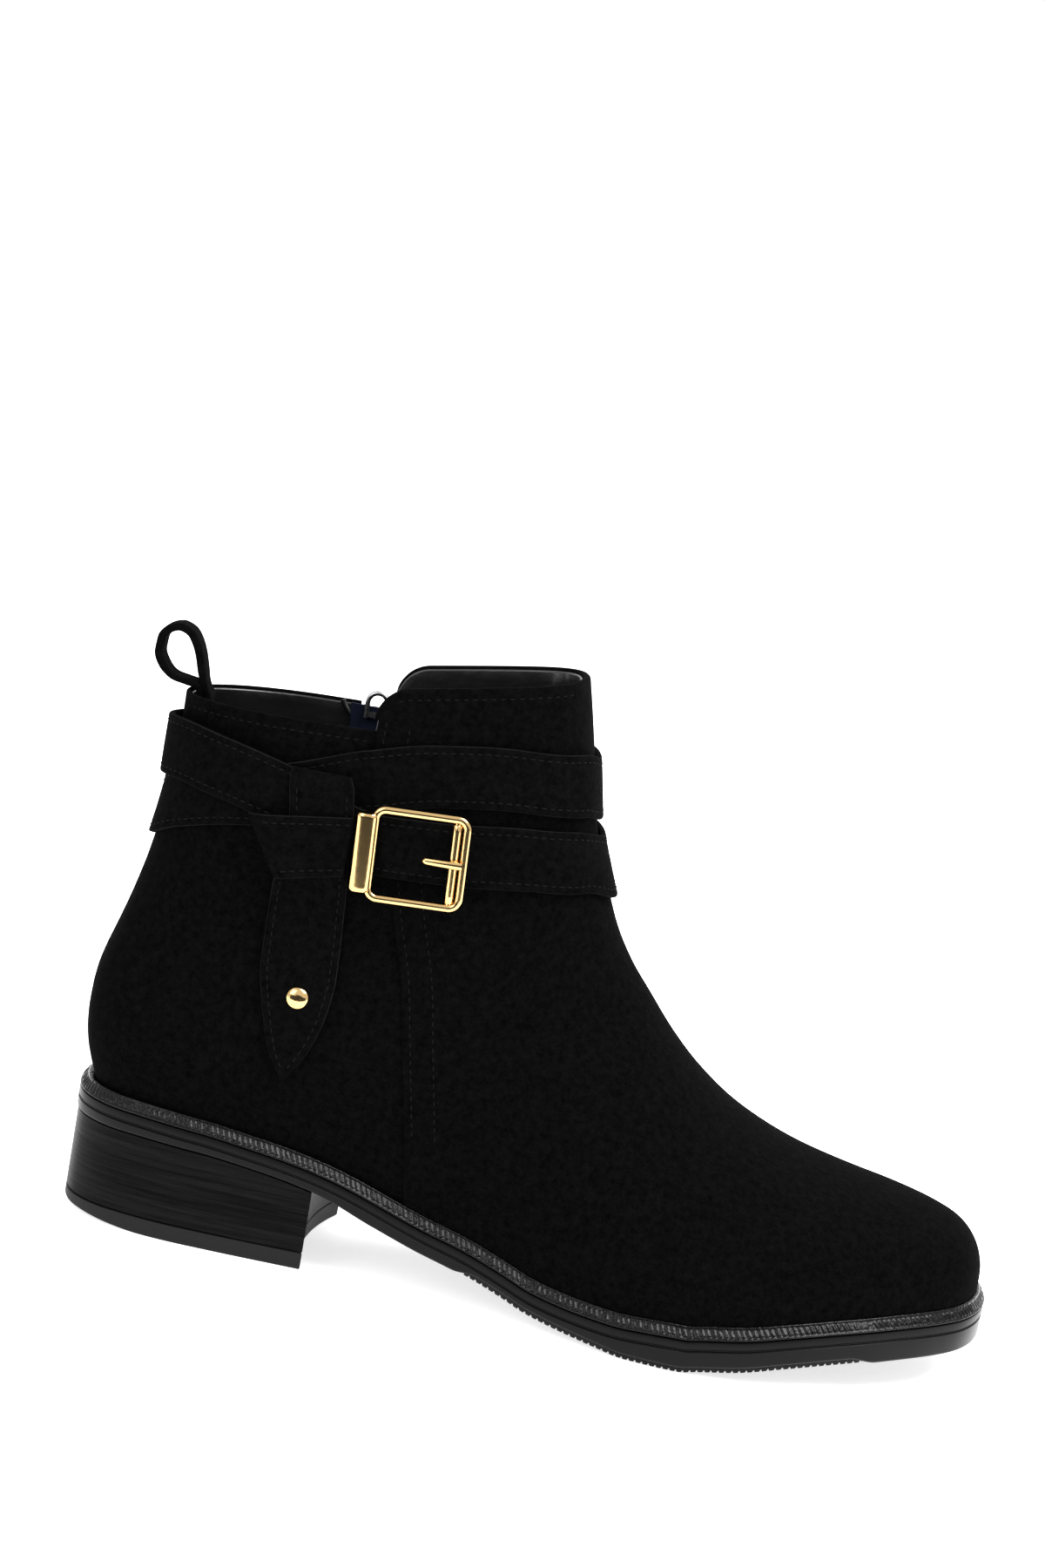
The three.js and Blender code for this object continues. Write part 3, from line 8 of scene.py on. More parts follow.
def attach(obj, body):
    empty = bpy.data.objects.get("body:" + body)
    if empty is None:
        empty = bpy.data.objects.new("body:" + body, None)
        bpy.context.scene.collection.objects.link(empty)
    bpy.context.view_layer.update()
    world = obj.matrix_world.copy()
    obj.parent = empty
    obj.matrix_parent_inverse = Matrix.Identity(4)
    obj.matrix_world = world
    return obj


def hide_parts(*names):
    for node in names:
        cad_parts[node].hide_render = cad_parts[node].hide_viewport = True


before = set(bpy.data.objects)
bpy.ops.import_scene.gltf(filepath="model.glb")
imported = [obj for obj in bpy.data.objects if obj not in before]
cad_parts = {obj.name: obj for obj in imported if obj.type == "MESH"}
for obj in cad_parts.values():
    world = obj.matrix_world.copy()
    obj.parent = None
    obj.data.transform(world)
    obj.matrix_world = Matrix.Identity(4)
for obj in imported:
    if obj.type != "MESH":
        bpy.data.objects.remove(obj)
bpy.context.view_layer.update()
BODY = "boot"

# Camera, where the photograph was taken from, kept at its angle to the shoe
YAW, PITCH, ROLL = 0.0579, 0.1891, 0.1844
EYE, FOCAL_LENGTH, SENSOR_WIDTH, CLIP_NEAR, CLIP_FAR = (0.1282, -0.96, 0.3284), 79.76, 36, 0.05, 60
cam_data = bpy.data.cameras.new("camera")
cam_data.lens, cam_data.sensor_width = FOCAL_LENGTH, SENSOR_WIDTH
cam_data.clip_start, cam_data.clip_end = CLIP_NEAR, CLIP_FAR
cam = bpy.data.objects.new("camera", cam_data)
bpy.context.scene.collection.objects.link(cam)
back = Vector((math.sin(YAW) * math.cos(PITCH), -math.cos(YAW) * math.cos(PITCH), math.sin(PITCH)))
right = Vector((math.cos(YAW), math.sin(YAW), 0))
up = back.cross(right)
cam_x = right * math.cos(ROLL) + up * math.sin(ROLL)
cam_y = up * math.cos(ROLL) - right * math.sin(ROLL)
cam.matrix_world = Matrix([*zip(cam_x, cam_y, back, EYE), (0, 0, 0, 1)])
bpy.context.scene.camera = cam

# Sizes in millimetres, as in the CAD source
LAST_LENGTH, BALL_WIDTH, HEEL_HEIGHT, TOE_SPRING = 260.1, 90, 29.2, 12.4
BACK_RISE, BACK_CURVE, FRONT_RISE, SHAFT_WIDTH, SHAFT_BACK_DEPTH = 114, 8, 158, 49, 38
TOE_SWING, INSTEP_LEAN, WALL, PANEL = 6.3, 3.5, 2.2, 0.9
REAR_SLOPE, FRONT_SLOPE, NOTCH_RADIUS = 0.04, 0.2, 9.5
SOLE_EDGE, WELT_EDGE, WELT_OUT, WELT_IN = 10, 3.8, 3.6, 2.5
TREAD, TREAD_INSET, INSOLE_RISE = 1.8, 1.6, 2.6
HEEL_DEPTH, HEEL_TUCK, HEEL_ROLL, HEEL_ROLL_LENGTH = 74.4, 0.6, 1.8, 28
HEEL_BOTTOM_WIDTH, HEEL_INSET, BREAST_HOLLOW, BREAST_SKEW, TOP_LIFT = 54, 0.5, 4, 2.9, 5
STRAP_WIDTH, STRAP_THICK, TAB_WIDTH = 17, 1.7, 20
ZIP_SLOT, ZIP_BOTTOM = 7.6, 52

HEEL_X = WELT_OUT - HEEL_DEPTH / 2
TOE_X = HEEL_X + LAST_LENGTH


def along(at):
    return HEEL_X + at * LAST_LENGTH


def share_at(x):
    return (x - HEEL_X) / LAST_LENGTH


def mix(a, b, t):
    return a + (b - a) * t


def ease(t):
    t = np.clip(t, 0, 1)
    return t * t * (3 - 2 * t)


def through(keys, values):
    """A smooth curve through table rows that never overshoots them."""
    keys, values = np.array(keys, float), np.array(values, float)
    step = np.diff(keys)
    rate = np.diff(values) / step
    slope = np.zeros(len(keys))
    slope[0], slope[-1] = rate[0], rate[-1]
    for i in range(1, len(keys) - 1):
        if rate[i - 1] * rate[i] > 0:
            near, far = 2 * step[i] + step[i - 1], step[i] + 2 * step[i - 1]
            slope[i] = (near + far) / (near / rate[i - 1] + far / rate[i])

    def at(key):
        k = np.clip(np.asarray(key, float), keys[0], keys[-1])
        i = np.clip(np.searchsorted(keys, k, side="left") - 1, 0, len(keys) - 2)
        t = (k - keys[i]) / step[i]
        rest = 1 - t
        return ((1 + 2 * t) * rest * rest * values[i] + t * rest * rest * step[i] * slope[i]
                + t * t * (3 - 2 * t) * values[i + 1] - t * t * rest * step[i] * slope[i + 1])
    return at


def curves(rows):
    """A smooth curve for each further column of a table, over its first column."""
    rows = np.array(rows, float)
    return [through(rows[:, 0], column) for column in rows.T[1:]]


def path_of(points):
    points = np.array(points, float)
    run = np.concatenate([[0], np.cumsum(np.hypot(*np.diff(points, axis=0).T))])
    xs, zs = through(run / run[-1], points[:, 0]), through(run / run[-1], points[:, 1])
    return lambda u: np.stack([xs(u), zs(u)], -1)


def run_of(points):
    """The length along a line of points up to each of them."""
    return np.concatenate([[0], np.cumsum(np.linalg.norm(np.diff(points, axis=0), axis=1))])


def lookup(path, a, b, samples=2000):
    rows = path(np.linspace(0, 1, samples + 1))
    if rows[0, a] > rows[-1, a]:
        rows = rows[::-1]
    xs, ys = rows[:, a], rows[:, b]

    def at(value):
        value = np.asarray(value, float)
        i = np.clip(np.searchsorted(xs, value, side="right") - 1, 0, samples - 1)
        span = xs[i + 1] - xs[i]
        t = np.where(span != 0, (value - xs[i]) / np.where(span != 0, span, 1), 0)
        return mix(ys[i], ys[i + 1], t)
    return at


# The sole seen from the side: at, pitch, spring, edge
SOLE_SIDE = [
    (-0.03, 1, 0, 0.62), (0.0648, 1, 0, 0.57), (0.1366, 0.983, 0, 0.54), (0.2034, 0.928, 0, 0.52),
    (0.2742, 0.82, 0, 0.53), (0.34, 0.615, 0, 0.64), (0.3918, 0.469, 0, 0.64), (0.4426, 0.363, 0, 0.65),
    (0.4955, 0.226, 0, 0.66), (0.5214, 0.15, 0, 0.67), (0.5603, 0.085, 0, 0.71), (0.6021, 0.035, 0, 0.79),
    (0.638, 0, 0, 0.9), (0.6929, 0, 0, 0.97), (0.7148, 0, 0.08, 0.96), (0.7597, 0, 0.24, 0.95),
    (0.8045, 0, 0.455, 0.93), (0.8494, 0, 0.635, 0.92), (0.8952, 0, 0.78, 0.91), (0.9411, 0, 0.885, 0.91),
    (1.02, 0, 1, 0.92),
]
pitch_share, spring_share, edge_share = curves(SOLE_SIDE)


def ground(x):
    return HEEL_HEIGHT * pitch_share(share_at(x)) + TOE_SPRING * spring_share(share_at(x))


def sole_top(x):
    return ground(x) + SOLE_EDGE * edge_share(share_at(x))


def feather(x):
    return sole_top(x) + WELT_EDGE


# The last's bottom outline and swell: at, outer, inner, outSwell, inSwell
FOOT_PLAN = [
    (0, 0, 0, 0.1, 0.1), (0.015, 0.169, 0.169, 0.1, 0.1), (0.061, 0.26, 0.262, 0.1, 0.1),
    (0.137, 0.298, 0.302, 0.1, 0.1), (0.213, 0.303, 0.308, 0.11, 0.11), (0.29, 0.303, 0.297, 0.12, 0.16),
    (0.366, 0.308, 0.275, 0.13, 0.24), (0.442, 0.336, 0.27, 0.11, 0.28), (0.518, 0.391, 0.308, 0.08, 0.22),
    (0.575, 0.441, 0.364, 0.06, 0.13), (0.632, 0.485, 0.428, 0.045, 0.07),
    (0.69, 0.503, 0.476, 0.04, 0.045), (0.747, 0.498, 0.49, 0.035, 0.035),
    (0.804, 0.476, 0.474, 0.03, 0.03), (0.861, 0.431, 0.43, 0.03, 0.03), (0.918, 0.356, 0.357, 0.03, 0.03),
    (0.956, 0.282, 0.284, 0.03, 0.03), (0.979, 0.214, 0.215, 0.03, 0.03), (1, 0, 0, 0.03, 0.03),
]


def turn_of(share):
    return np.arccos(1 - 2 * np.clip(share, 0, 1))


plan = np.array(FOOT_PLAN)
half_outer, half_inner = (through(turn_of(plan[:, 0]), plan[:, k]) for k in (1, 2))
swell_outer, swell_inner = (through(plan[:, 0], plan[:, k]) for k in (3, 4))
swing = through([0, 0.45, 0.6, 0.75, 0.86, 0.93, 1], [0, 0, 0, 0.1, 0.48, 0.78, 1])
lean_share = through([0, 0.45, 0.6, 0.75, 0.86, 0.93, 1], [0, 0, 0.7, 1, 0.8, 0.4, 0])


def centre_y(x):
    return TOE_SWING * swing(share_at(x))


BACK_LINE = [
    (0, 0), (0.044, -0.25), (0.088, -0.44), (0.133, -0.55), (0.178, -0.59), (0.225, -0.575), (0.271, -0.51),
    (0.319, -0.36), (0.368, -0.155), (0.417, 0.05), (0.465, 0.235), (0.513, 0.4), (0.561, 0.55),
    (0.639, 0.74), (0.707, 0.89), (0.786, 0.985), (0.884, 1), (1, 0.975),
]
back_share = curves(BACK_LINE)[0]
seat_z = float(feather(HEEL_X))
back_top = seat_z + BACK_RISE


def back_x(z):
    return HEEL_X + BACK_CURVE * back_share((z - seat_z) / BACK_RISE)


FRONT_LINE = [
    (1, 0), (0.9995, 0.03), (0.995, 0.06), (0.985, 0.088), (0.968, 0.113), (0.94, 0.134), (0.896, 0.159),
    (0.845, 0.187), (0.799, 0.219), (0.76, 0.253), (0.7, 0.316), (0.652, 0.377), (0.6165, 0.436),
    (0.586, 0.493), (0.5575, 0.546), (0.5355, 0.599), (0.523, 0.64), (0.4935, 0.75), (0.4755, 0.874),
    (0.4617, 0.963), (0.4557, 1), (0.4497, 1.052),
]
front_points = np.array([(along(a), float(feather(along(a))) + FRONT_RISE * r) for a, r in FRONT_LINE])
front_path = path_of(front_points)
front_x, front_z = lookup(front_path, 1, 0), lookup(front_path, 0, 1)
collar_front = front_points[-2]
crown_power = through([0, 0.46, 0.52, 0.58, 0.66, 0.8, 0.93, 1], [4, 4, 3.1, 2.4, 2.05, 2.05, 2.3, 2.6])


def crown_share(x, z):
    low = feather(x)
    return np.clip((z - low) / np.maximum(0.001, front_z(x) - low), 0, 1)


def half_width(x, z, hand):
    behind = back_x(z)
    share = np.clip((x - behind) / (TOE_X - behind), 0, 1)
    height = np.maximum(0, z - feather(x))
    open_ = 1 - np.clip(height / (0.17 * BACK_RISE), 0, 1)
    turns = turn_of(share)
    inner = hand > 0
    swell = 1 + np.where(inner, swell_inner(share), swell_outer(share)) * (1 - open_ * open_)
    low = BALL_WIDTH * np.where(inner, half_inner(turns), half_outer(turns)) * swell
    depth = np.clip((x - behind) / SHAFT_BACK_DEPTH, 0, 1)
    taper = 1 - 0.1 * np.clip((x - behind) / (collar_front[0] - HEEL_X), 0, 1)
    high = SHAFT_WIDTH / 2 * np.sqrt(1 - (1 - depth) ** 2) * taper
    rise = (z - seat_z) / BACK_RISE
    body = mix(low, high, ease((rise - 0.08) / 0.64))
    return body * np.sqrt(np.maximum(0, 1 - crown_share(x, z) ** crown_power(share_at(x))))


def face_point(x, z, hand):
    x, z, hand = np.broadcast_arrays(np.asarray(x, float), np.asarray(z, float), np.asarray(hand, float))
    lean = INSTEP_LEAN * lean_share(share_at(x)) * crown_share(x, z) ** 2
    return np.stack([x, centre_y(x) + lean + hand * half_width(x, z, hand), z], -1)


spare_top = back_top + 7


def tube_place(turn, rise):
    """The side-view place of a point of the face as a tube."""
    turn, rise = np.broadcast_arrays(np.asarray(turn, float), np.asarray(rise, float))
    s = (1 - np.cos(2 * np.pi * turn)) / 2
    foot_x = mix(HEEL_X, TOE_X, s)
    rear_z = mix(seat_z, spare_top, rise)
    front = front_path(rise)
    top_back, top_front = (float(back_x(spare_top)), spare_top), front_points[-1]
    heel, toe = (HEEL_X, seat_z), (TOE_X, float(feather(TOE_X)))
    low = (foot_x, feather(foot_x))
    top = (mix(top_back[0], top_front[0], s), mix(spare_top, top_front[1], s))
    rear = (back_x(rear_z), rear_z)
    out = []
    for i in (0, 1):
        corner = mix(mix(heel[i], toe[i], s), mix(top_back[i], top_front[i], s), rise)
        out.append(mix(low[i], top[i], rise) + mix(rear[i], front[..., i], s) - corner)
    return out[0], out[1]


def tube_point(turn, rise):
    turn = np.asarray(turn, float)
    turn = turn - np.floor(turn)
    x, z = tube_place(turn, rise)
    return face_point(x, z, np.where(turn <= 0.5, -1.0, 1.0))


def unit(v):
    return v / np.maximum(1e-12, np.linalg.norm(v, axis=-1, keepdims=True))


def tube_normal(turn, rise, step=0.0012):
    forward = tube_point(turn + step, rise) - tube_point(turn - step, rise)
    rise = np.asarray(rise, float)
    upward = tube_point(turn, np.minimum(1, rise + step)) - tube_point(turn, np.maximum(0, rise - step))
    return unit(np.cross(forward, upward))


# Side seam, collar and zip lines
SEAM = [(-0.12, 0.3709), (0, 0.3639), (0.279, 0.339), (0.446, 0.3226), (0.569, 0.3049), (0.786, 0.2781),
        (0.985, 0.2527), (1.05, 0.2452)]
seam_share = curves(SEAM)[0]


def seam_x(z):
    x = along(seam_share((z - seat_z) / BACK_RISE))
    return np.where(z > back_top, np.maximum(x, along(seam_share(1))), x)


def rear_collar(x):
    return back_top + REAR_SLOPE * (x - back_x(back_top))


def front_collar(x):
    return collar_front[1] - FRONT_SLOPE * (collar_front[0] - x)


NOTCH_X = float(seam_x(back_top))
tilt = math.atan(FRONT_SLOPE)
ARC_X = NOTCH_X + NOTCH_RADIUS
ARC_Z = float(front_collar(ARC_X)) - NOTCH_RADIUS / math.cos(tilt)


def vamp_collar(x):
    """The front collar, with the notch's arc at its rear end."""
    arc = ARC_Z + np.sqrt(np.maximum(0, NOTCH_RADIUS ** 2 - (np.maximum(x, NOTCH_X) - ARC_X) ** 2))
    return np.where(x < ARC_X - NOTCH_RADIUS * math.sin(tilt), arc, front_collar(x))


def collar_z(x, soft=0.5):
    x = np.asarray(x, float)
    return mix(rear_collar(x), vamp_collar(x), ease((x - NOTCH_X + soft / 2) / soft))


ZIP_TOP_AT, ZIP_FOOT_AT = 0.2253, 0.2781
zip_top_z = float(rear_collar(along(ZIP_TOP_AT)))


def zip_x(z):
    return along(mix(ZIP_FOOT_AT, ZIP_TOP_AT, (z - ZIP_BOTTOM) / (zip_top_z - ZIP_BOTTOM)))


# Mesh helpers
def new_object(name, points, faces, material, nodes=(), slot=None, body=BODY):
    mesh = bpy.data.meshes.new(name)
    points = np.asarray(points, float).reshape(-1, 3) * 0.001
    mesh.from_pydata(points.tolist(), [], [tuple(int(i) for i in f) for f in faces])
    mesh.validate()
    mesh.update()
    mesh.polygons.foreach_set("use_smooth", [True] * len(mesh.polygons))
    mesh.materials.append(material)
    obj = bpy.data.objects.new(name, mesh)
    bpy.context.scene.collection.objects.link(obj)
    if nodes:
        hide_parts(*nodes)
    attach(obj, body)
    return obj


def close(obj, degrees=None):
    """Turns the faces outward and, from an angle on, keeps the edges sharp."""
    bm = bmesh.new()
    bm.from_mesh(obj.data)
    bmesh.ops.remove_doubles(bm, verts=bm.verts, dist=1e-6)
    bmesh.ops.recalc_face_normals(bm, faces=bm.faces)
    bm.to_mesh(obj.data)
    bm.free()
    if degrees:
        obj.data.set_sharp_from_angle(angle=math.radians(degrees))
    return obj


def solid(name, form, material, nodes, slot, degrees=None, body=BODY):
    """A closed piece from its form, which is (points, faces)."""
    return close(new_object(name, *form, material, nodes, slot, body), degrees)


def line_of(*columns):
    """Points from their coordinates; a single number is repeated."""
    return np.stack(np.broadcast_arrays(*[np.asarray(column, float) for column in columns]), -1)


def grid_faces(rows, columns, wrap_rows=False, wrap_columns=False):
    i = np.arange(rows if wrap_rows else rows - 1)
    j = np.arange(columns if wrap_columns else columns - 1)
    i, j = [a.ravel() for a in np.meshgrid(i, j, indexing="ij")]
    i2, j2 = (i + 1) % rows, (j + 1) % columns
    return np.stack([i * columns + j, i * columns + j2, i2 * columns + j2, i2 * columns + j], -1)


def loft(sections):
    """Points and faces of a closed body from sections, shaped (count, points, 3)."""
    n, m = sections.shape[:2]
    faces = list(grid_faces(n, m, wrap_columns=True))
    faces += [list(range(m))[::-1], [(n - 1) * m + k for k in range(m)]]
    return sections.reshape(-1, 3), faces


# Materials
def shader_of(mat):
    return mat.node_tree.nodes["Principled BSDF"]


def node_of(mat, kind, source=None, socket=None, **values):
    """A new node with its values set, fed by a source through one of its sockets."""
    node = mat.node_tree.nodes.new("ShaderNode" + kind)
    for key, value in values.items():
        node.inputs[key].default_value = value
    if source:
        mat.node_tree.links.new(source, node.inputs[socket])
    return node


def noise_of(mat, scale, detail, stretch=(1, 1, 1), rough=0.5):
    coords = node_of(mat, "TexCoord").outputs["Object"]
    place = node_of(mat, "Mapping", coords, "Vector", Scale=stretch).outputs["Vector"]
    return node_of(mat, "TexNoise", place, "Vector", Scale=scale, Detail=detail, Roughness=rough).outputs[0]


def tint(mat, factor, low, high, start, end):
    """Colours a material along a noise, from low to high."""
    ramp = node_of(mat, "ValToRGB", factor, "Fac")
    for stop, place, colour in zip(ramp.color_ramp.elements, (start, end), (low, high)):
        stop.position, stop.color = place, (*colour, 1)
    mat.node_tree.links.new(ramp.outputs["Color"], shader_of(mat).inputs["Base Color"])


def bump_of(mat, factor, strength, distance):
    """A bump on top of those that the material has."""
    normal = shader_of(mat).inputs["Normal"]
    bump = node_of(mat, "Bump", factor, "Height", Strength=strength, Distance=distance)
    if normal.links:
        mat.node_tree.links.new(normal.links[0].from_socket, bump.inputs["Normal"])
    mat.node_tree.links.new(bump.outputs["Normal"], normal)


def finish_of(name, colour, roughness, specular=0.5, bumps=(), metallic=0.0):
    """A plain material; each bump is a noise's scale and detail, then strength, distance and stretch."""
    mat = bpy.data.materials.new(name)
    mat.use_nodes = True
    for key, value in {"Base Color": (*colour, 1), "Roughness": roughness, "Specular IOR Level": specular,
                       "Metallic": metallic}.items():
        shader_of(mat).inputs[key].default_value = value
    for scale, detail, strength, distance, *stretch in bumps:
        bump_of(mat, noise_of(mat, scale, detail, *stretch), strength, distance)
    return mat


def suede_finish(name, low, high, patch):
    """A nap: faint patches between two tones and two fine bumps."""
    mat = finish_of(name, low, 1.0, 0.012)
    shader_of(mat).inputs["Sheen Weight"].default_value = 0.004
    shader_of(mat).inputs["Sheen Roughness"].default_value = 0.4
    tint(mat, noise_of(mat, patch, 7, rough=0.8), low, high, 0.34, 0.68)
    bump_of(mat, noise_of(mat, 320, 6, rough=0.75), 0.4, 0.0005)
    bump_of(mat, noise_of(mat, 2400, 3, rough=0.8), 0.55, 0.00022)
    return mat


# Painted highlight: a lighter suede for the strap rims, standing in for the light caught by their upper edges
painted_rim_highlight = suede_finish("suede_painted_rim_highlight", (0.005, 0.005, 0.005), (0.013, 0.0128, 0.0128), 200)
suede = suede_finish("suede", (0.0005, 0.0005, 0.0005), (0.0028, 0.0027, 0.0027), 460)
strap_suede = suede_finish("suede_strap", (0.0006, 0.0006, 0.0006), (0.0031, 0.003, 0.003), 460)
thread = finish_of("thread", (0.0042, 0.0042, 0.0043), 0.8, 0.04, [(3000, 2, 0.4, 0.0001)])
wrinkles, pores = (70, 3, 0.5, 0.0012), (900, 3, 0.12, 0.0003)
lining = finish_of("lining", (0.003, 0.003, 0.0031), 0.26, 0.6, [wrinkles, pores])
footbed = finish_of("footbed", (0.005, 0.005, 0.0052), 0.45, 0.25, [(700, 3, 0.15, 0.0003)])
sole_finish = finish_of("sole", (0.0022, 0.0022, 0.0023), 0.32, 0.1, [(500, 4, 0.08, 0.0003)])
tread_finish = finish_of("tread", (0.005, 0.005, 0.0052), 0.6, 0.15, [(900, 3, 0.3, 0.0003)])
welt_finish = finish_of("welt", (0.001, 0.001, 0.0011), 0.2, 0.17, [(700, 4, 0.6, 0.0005)])
heel_finish = finish_of("heel", (0.003, 0.003, 0.0031), 0.34, 0.03)
grain = noise_of(heel_finish, 26, 7, (1, 1, 24), 0.7)
tint(heel_finish, grain, (0.0006, 0.0006, 0.0007), (0.0062, 0.0062, 0.0064), 0.38, 0.66)
bump_of(heel_finish, grain, 0.6, 0.0005)
gold = finish_of("gold", (0.68, 0.46, 0.2), 0.11, bumps=[(300, 2, 0.05, 0.0003)], metallic=1.0)
chrome = finish_of("chrome", (0.4, 0.4, 0.41), 0.24, bumps=[(90, 1, 0.02, 0.0002)], metallic=1.0)
gunmetal = finish_of("gunmetal", (0.1, 0.1, 0.105), 0.32, bumps=[(600, 2, 0.08, 0.0003)], metallic=1.0)
tape_finish = finish_of("tape", (0.0025, 0.004, 0.011), 0.85, 0.1, [(1600, 2, 0.4, 0.0002, (1, 1, 2))])


# The upper as shells on the tube: panels, their turned edges and the lining
RISES = np.linspace(0, 1, 401)
HALVINGS, ROW_CROWDING, FOOT_TUCK, COLLAR_RISE = 40, 1.15, 0.6, 0.93


def halved(low, high, beyond):
    """Closes two arrays in on the places where beyond() becomes true."""
    for _ in range(HALVINGS):
        mid = (low + high) / 2
        cut = beyond(mid)
        high, low = np.where(cut, mid, high), np.where(cut, low, mid)
    return (low + high) / 2


def turn_where(edge, hand):
    """For each rise, the tube turn at which the face crosses x = edge(z) on that side."""
    def beyond(turn):
        x, z = tube_place(turn, RISES)
        return (x > edge(z)) == (hand < 0)
    low = np.full(RISES.shape, 0.0 if hand < 0 else 0.5)
    return halved(low, low + 0.5, beyond)


def crossing(edge, hand, turns_back=0):
    """Turn and its rate per millimetre of x along a line of the side view, as functions of rise."""
    turns = turn_where(edge, hand)
    ahead, behind = tube_place(turns + 1e-4, RISES)[0], tube_place(turns - 1e-4, RISES)[0]
    rate = 2e-4 / np.maximum(1e-6, np.abs(ahead - behind))
    return (lambda r: np.interp(r, RISES, turns - turns_back), lambda r: np.interp(r, RISES, rate))


def top_rise(turns, collar, columns):
    """For each column of a panel, the rise at which it meets the collar."""
    def beyond(rise):
        x, z = tube_place(turns(rise), rise)
        return z > collar(x)
    return halved(np.full(columns, 0.4), np.ones(columns), beyond)


# Soft creases pressed into the vamp and ankle: x, z of both ends, side, depth, half width
CREASES = [
    (62, 118, 78, 96, -1, 0.5, 4.5), (58, 100, 84, 78, -1, 0.35, 5.5), (70, 84, 96, 62, -1, 0.3, 6),
    (64, 116, 80, 98, 1, 0.5, 4.5), (60, 96, 86, 76, 1, 0.4, 5.5), (112, 64, 96, 46, -1, 0.35, 6),
    (130, 56, 112, 38, -1, 0.3, 6), (120, 60, 104, 40, 1, 0.35, 6), (24, 92, 30, 60, -1, 0.25, 7),
    (-4, 128, -2, 96, -1, 0.25, 6), (-24, 90, 0, 82, -1, 0.2, 6), (148, 48, 138, 32, -1, 0.25, 6),
]


def crease_lift(points, hand):
    lift = np.zeros(points.shape[:-1])
    for x1, z1, x2, z2, side, depth, half in CREASES:
        run = np.array([x2 - x1, z2 - z1], float)
        length = np.hypot(*run)
        rel = np.stack([points[..., 0] - x1, points[..., 2] - z1], -1)
        t = (rel @ run) / length ** 2
        off = (rel[..., 0] * run[1] - rel[..., 1] * run[0]) / length
        ends = ease((t + 0.35) / 0.5) * ease((1.35 - t) / 0.5)
        wave = np.exp(-(off / half) ** 2) - 0.55 * np.exp(-((off - 1.7 * half) / half) ** 2)
        lift -= np.where(hand == side, depth * wave * ends, 0)
    return lift


def shell(name, start, end, main, collar, outer, inner, start_edge, end_edge, mat, slot, rows, nodes=(),
          inside=False):
    """A panel between two lines of the tube, with shaped side edges and a rounded collar edge."""
    (turn_a, rate_a), (turn_b, rate_b) = start, end
    (gap_a, offset_a), (gap_b, offset_b) = np.transpose(start_edge), np.transpose(end_edge)
    s = np.concatenate([np.zeros(len(gap_a)), main, np.ones(len(gap_b))])
    gap = np.concatenate([gap_a, np.zeros(len(main)), -gap_b])
    offset = np.concatenate([offset_a, np.full(len(main), outer), offset_b])

    def turns(r):
        return mix(turn_a(r), turn_b(r), s) + gap * np.where(s < 0.5, rate_a(r), rate_b(r))

    half = abs(outer - inner) / 2
    top = top_rise(turns, lambda x: collar(x) - half, len(s))
    rise = np.linspace(0, 1, rows)[:, None] ** ROW_CROWDING * top[None, :]
    turn = turns(rise)
    face = tube_point(turn, rise)
    normal = tube_normal(turn, rise)
    lift = offset + (0 if inside else 1) * crease_lift(face, np.where(turn - np.floor(turn) <= 0.5, -1, 1))
    face_rows = face + normal * lift[..., None]
    face_rows[0, :, 2] = face[0, :, 2] - FOOT_TUCK
    upward = unit(np.cross(normal[-1], unit(np.gradient(face[-1], axis=0))))
    upward *= np.where(upward[:, 2:] < 0, -1, 1)
    loops = []
    for angle in np.linspace(0, math.pi, 10)[1:]:
        out = (offset + inner) / 2 + (offset - inner) / 2 * math.cos(angle)
        loops.append(face[-1] + normal[-1] * out[:, None] + upward * (half * math.sin(angle)))
    loops.append(face[-1] + normal[-1] * inner - upward * (0.4 if inside else 2.2))
    grid = np.concatenate([face_rows, np.array(loops)])
    faces = grid_faces(*grid.shape[:2])
    new_object(name, grid, faces[:, ::-1] if inside else faces, mat, nodes, slot)


seam_line = crossing(seam_x, -1)
under_seam = crossing(lambda z: seam_x(z) + 5, -1)
zip_front = crossing(lambda z: zip_x(z) + ZIP_SLOT / 2, 1)


def zip_rear_x(z):
    open_ = np.sqrt(np.clip((z - ZIP_BOTTOM) / 2.5, 0, 1))
    return zip_x(z) + mix(9.0, -ZIP_SLOT / 2, open_)


zip_rear = crossing(zip_rear_x, 1, turns_back=1)


def dense(centres, spread, count=300, low=0.012, high=0.988):
    """Even shares across a panel, with more of them close round each centre."""
    shares = [np.linspace(low, high, count)] + [c + spread * np.linspace(-1, 1, 25) ** 3 for c in centres]
    return np.unique(np.clip(np.concatenate(shares), low, high))


def notch_share(start, end, hand):
    """Where between two lines the notch's x lies on the collar."""
    a, b = start[0](COLLAR_RISE), end[0](COLLAR_RISE)
    turn = crossing(lambda z: NOTCH_X + 0 * z, hand, 1 if hand > 0 and a < 0 else 0)[0](COLLAR_RISE)
    return float((turn - a) / (b - a))


# Rows of a side edge: (millimetres in from the line, height over the last)
seam_edge = [(0, -0.25), (0.02, 0.2), (0.1, 0.5), (0.25, 0.74), (0.45, 0.86), (0.75, 0.9)]
zip_edge = [(1.0, 0.9), (0.6, 0.86), (0.3, 0.72), (0.1, 0.45), (0, 0.1), (0, -1.4)]
rear_edge = [(0, -1.4), (0, -0.8), (0.1, -0.45), (0.3, -0.2), (0.6, -0.05), (1.0, 0)]
vamp_main = dense([notch_share(seam_line, zip_front, 1)], 0.012)
vamp_main = np.unique(np.concatenate([vamp_main, np.linspace(0.006, 0.08, 40)]))
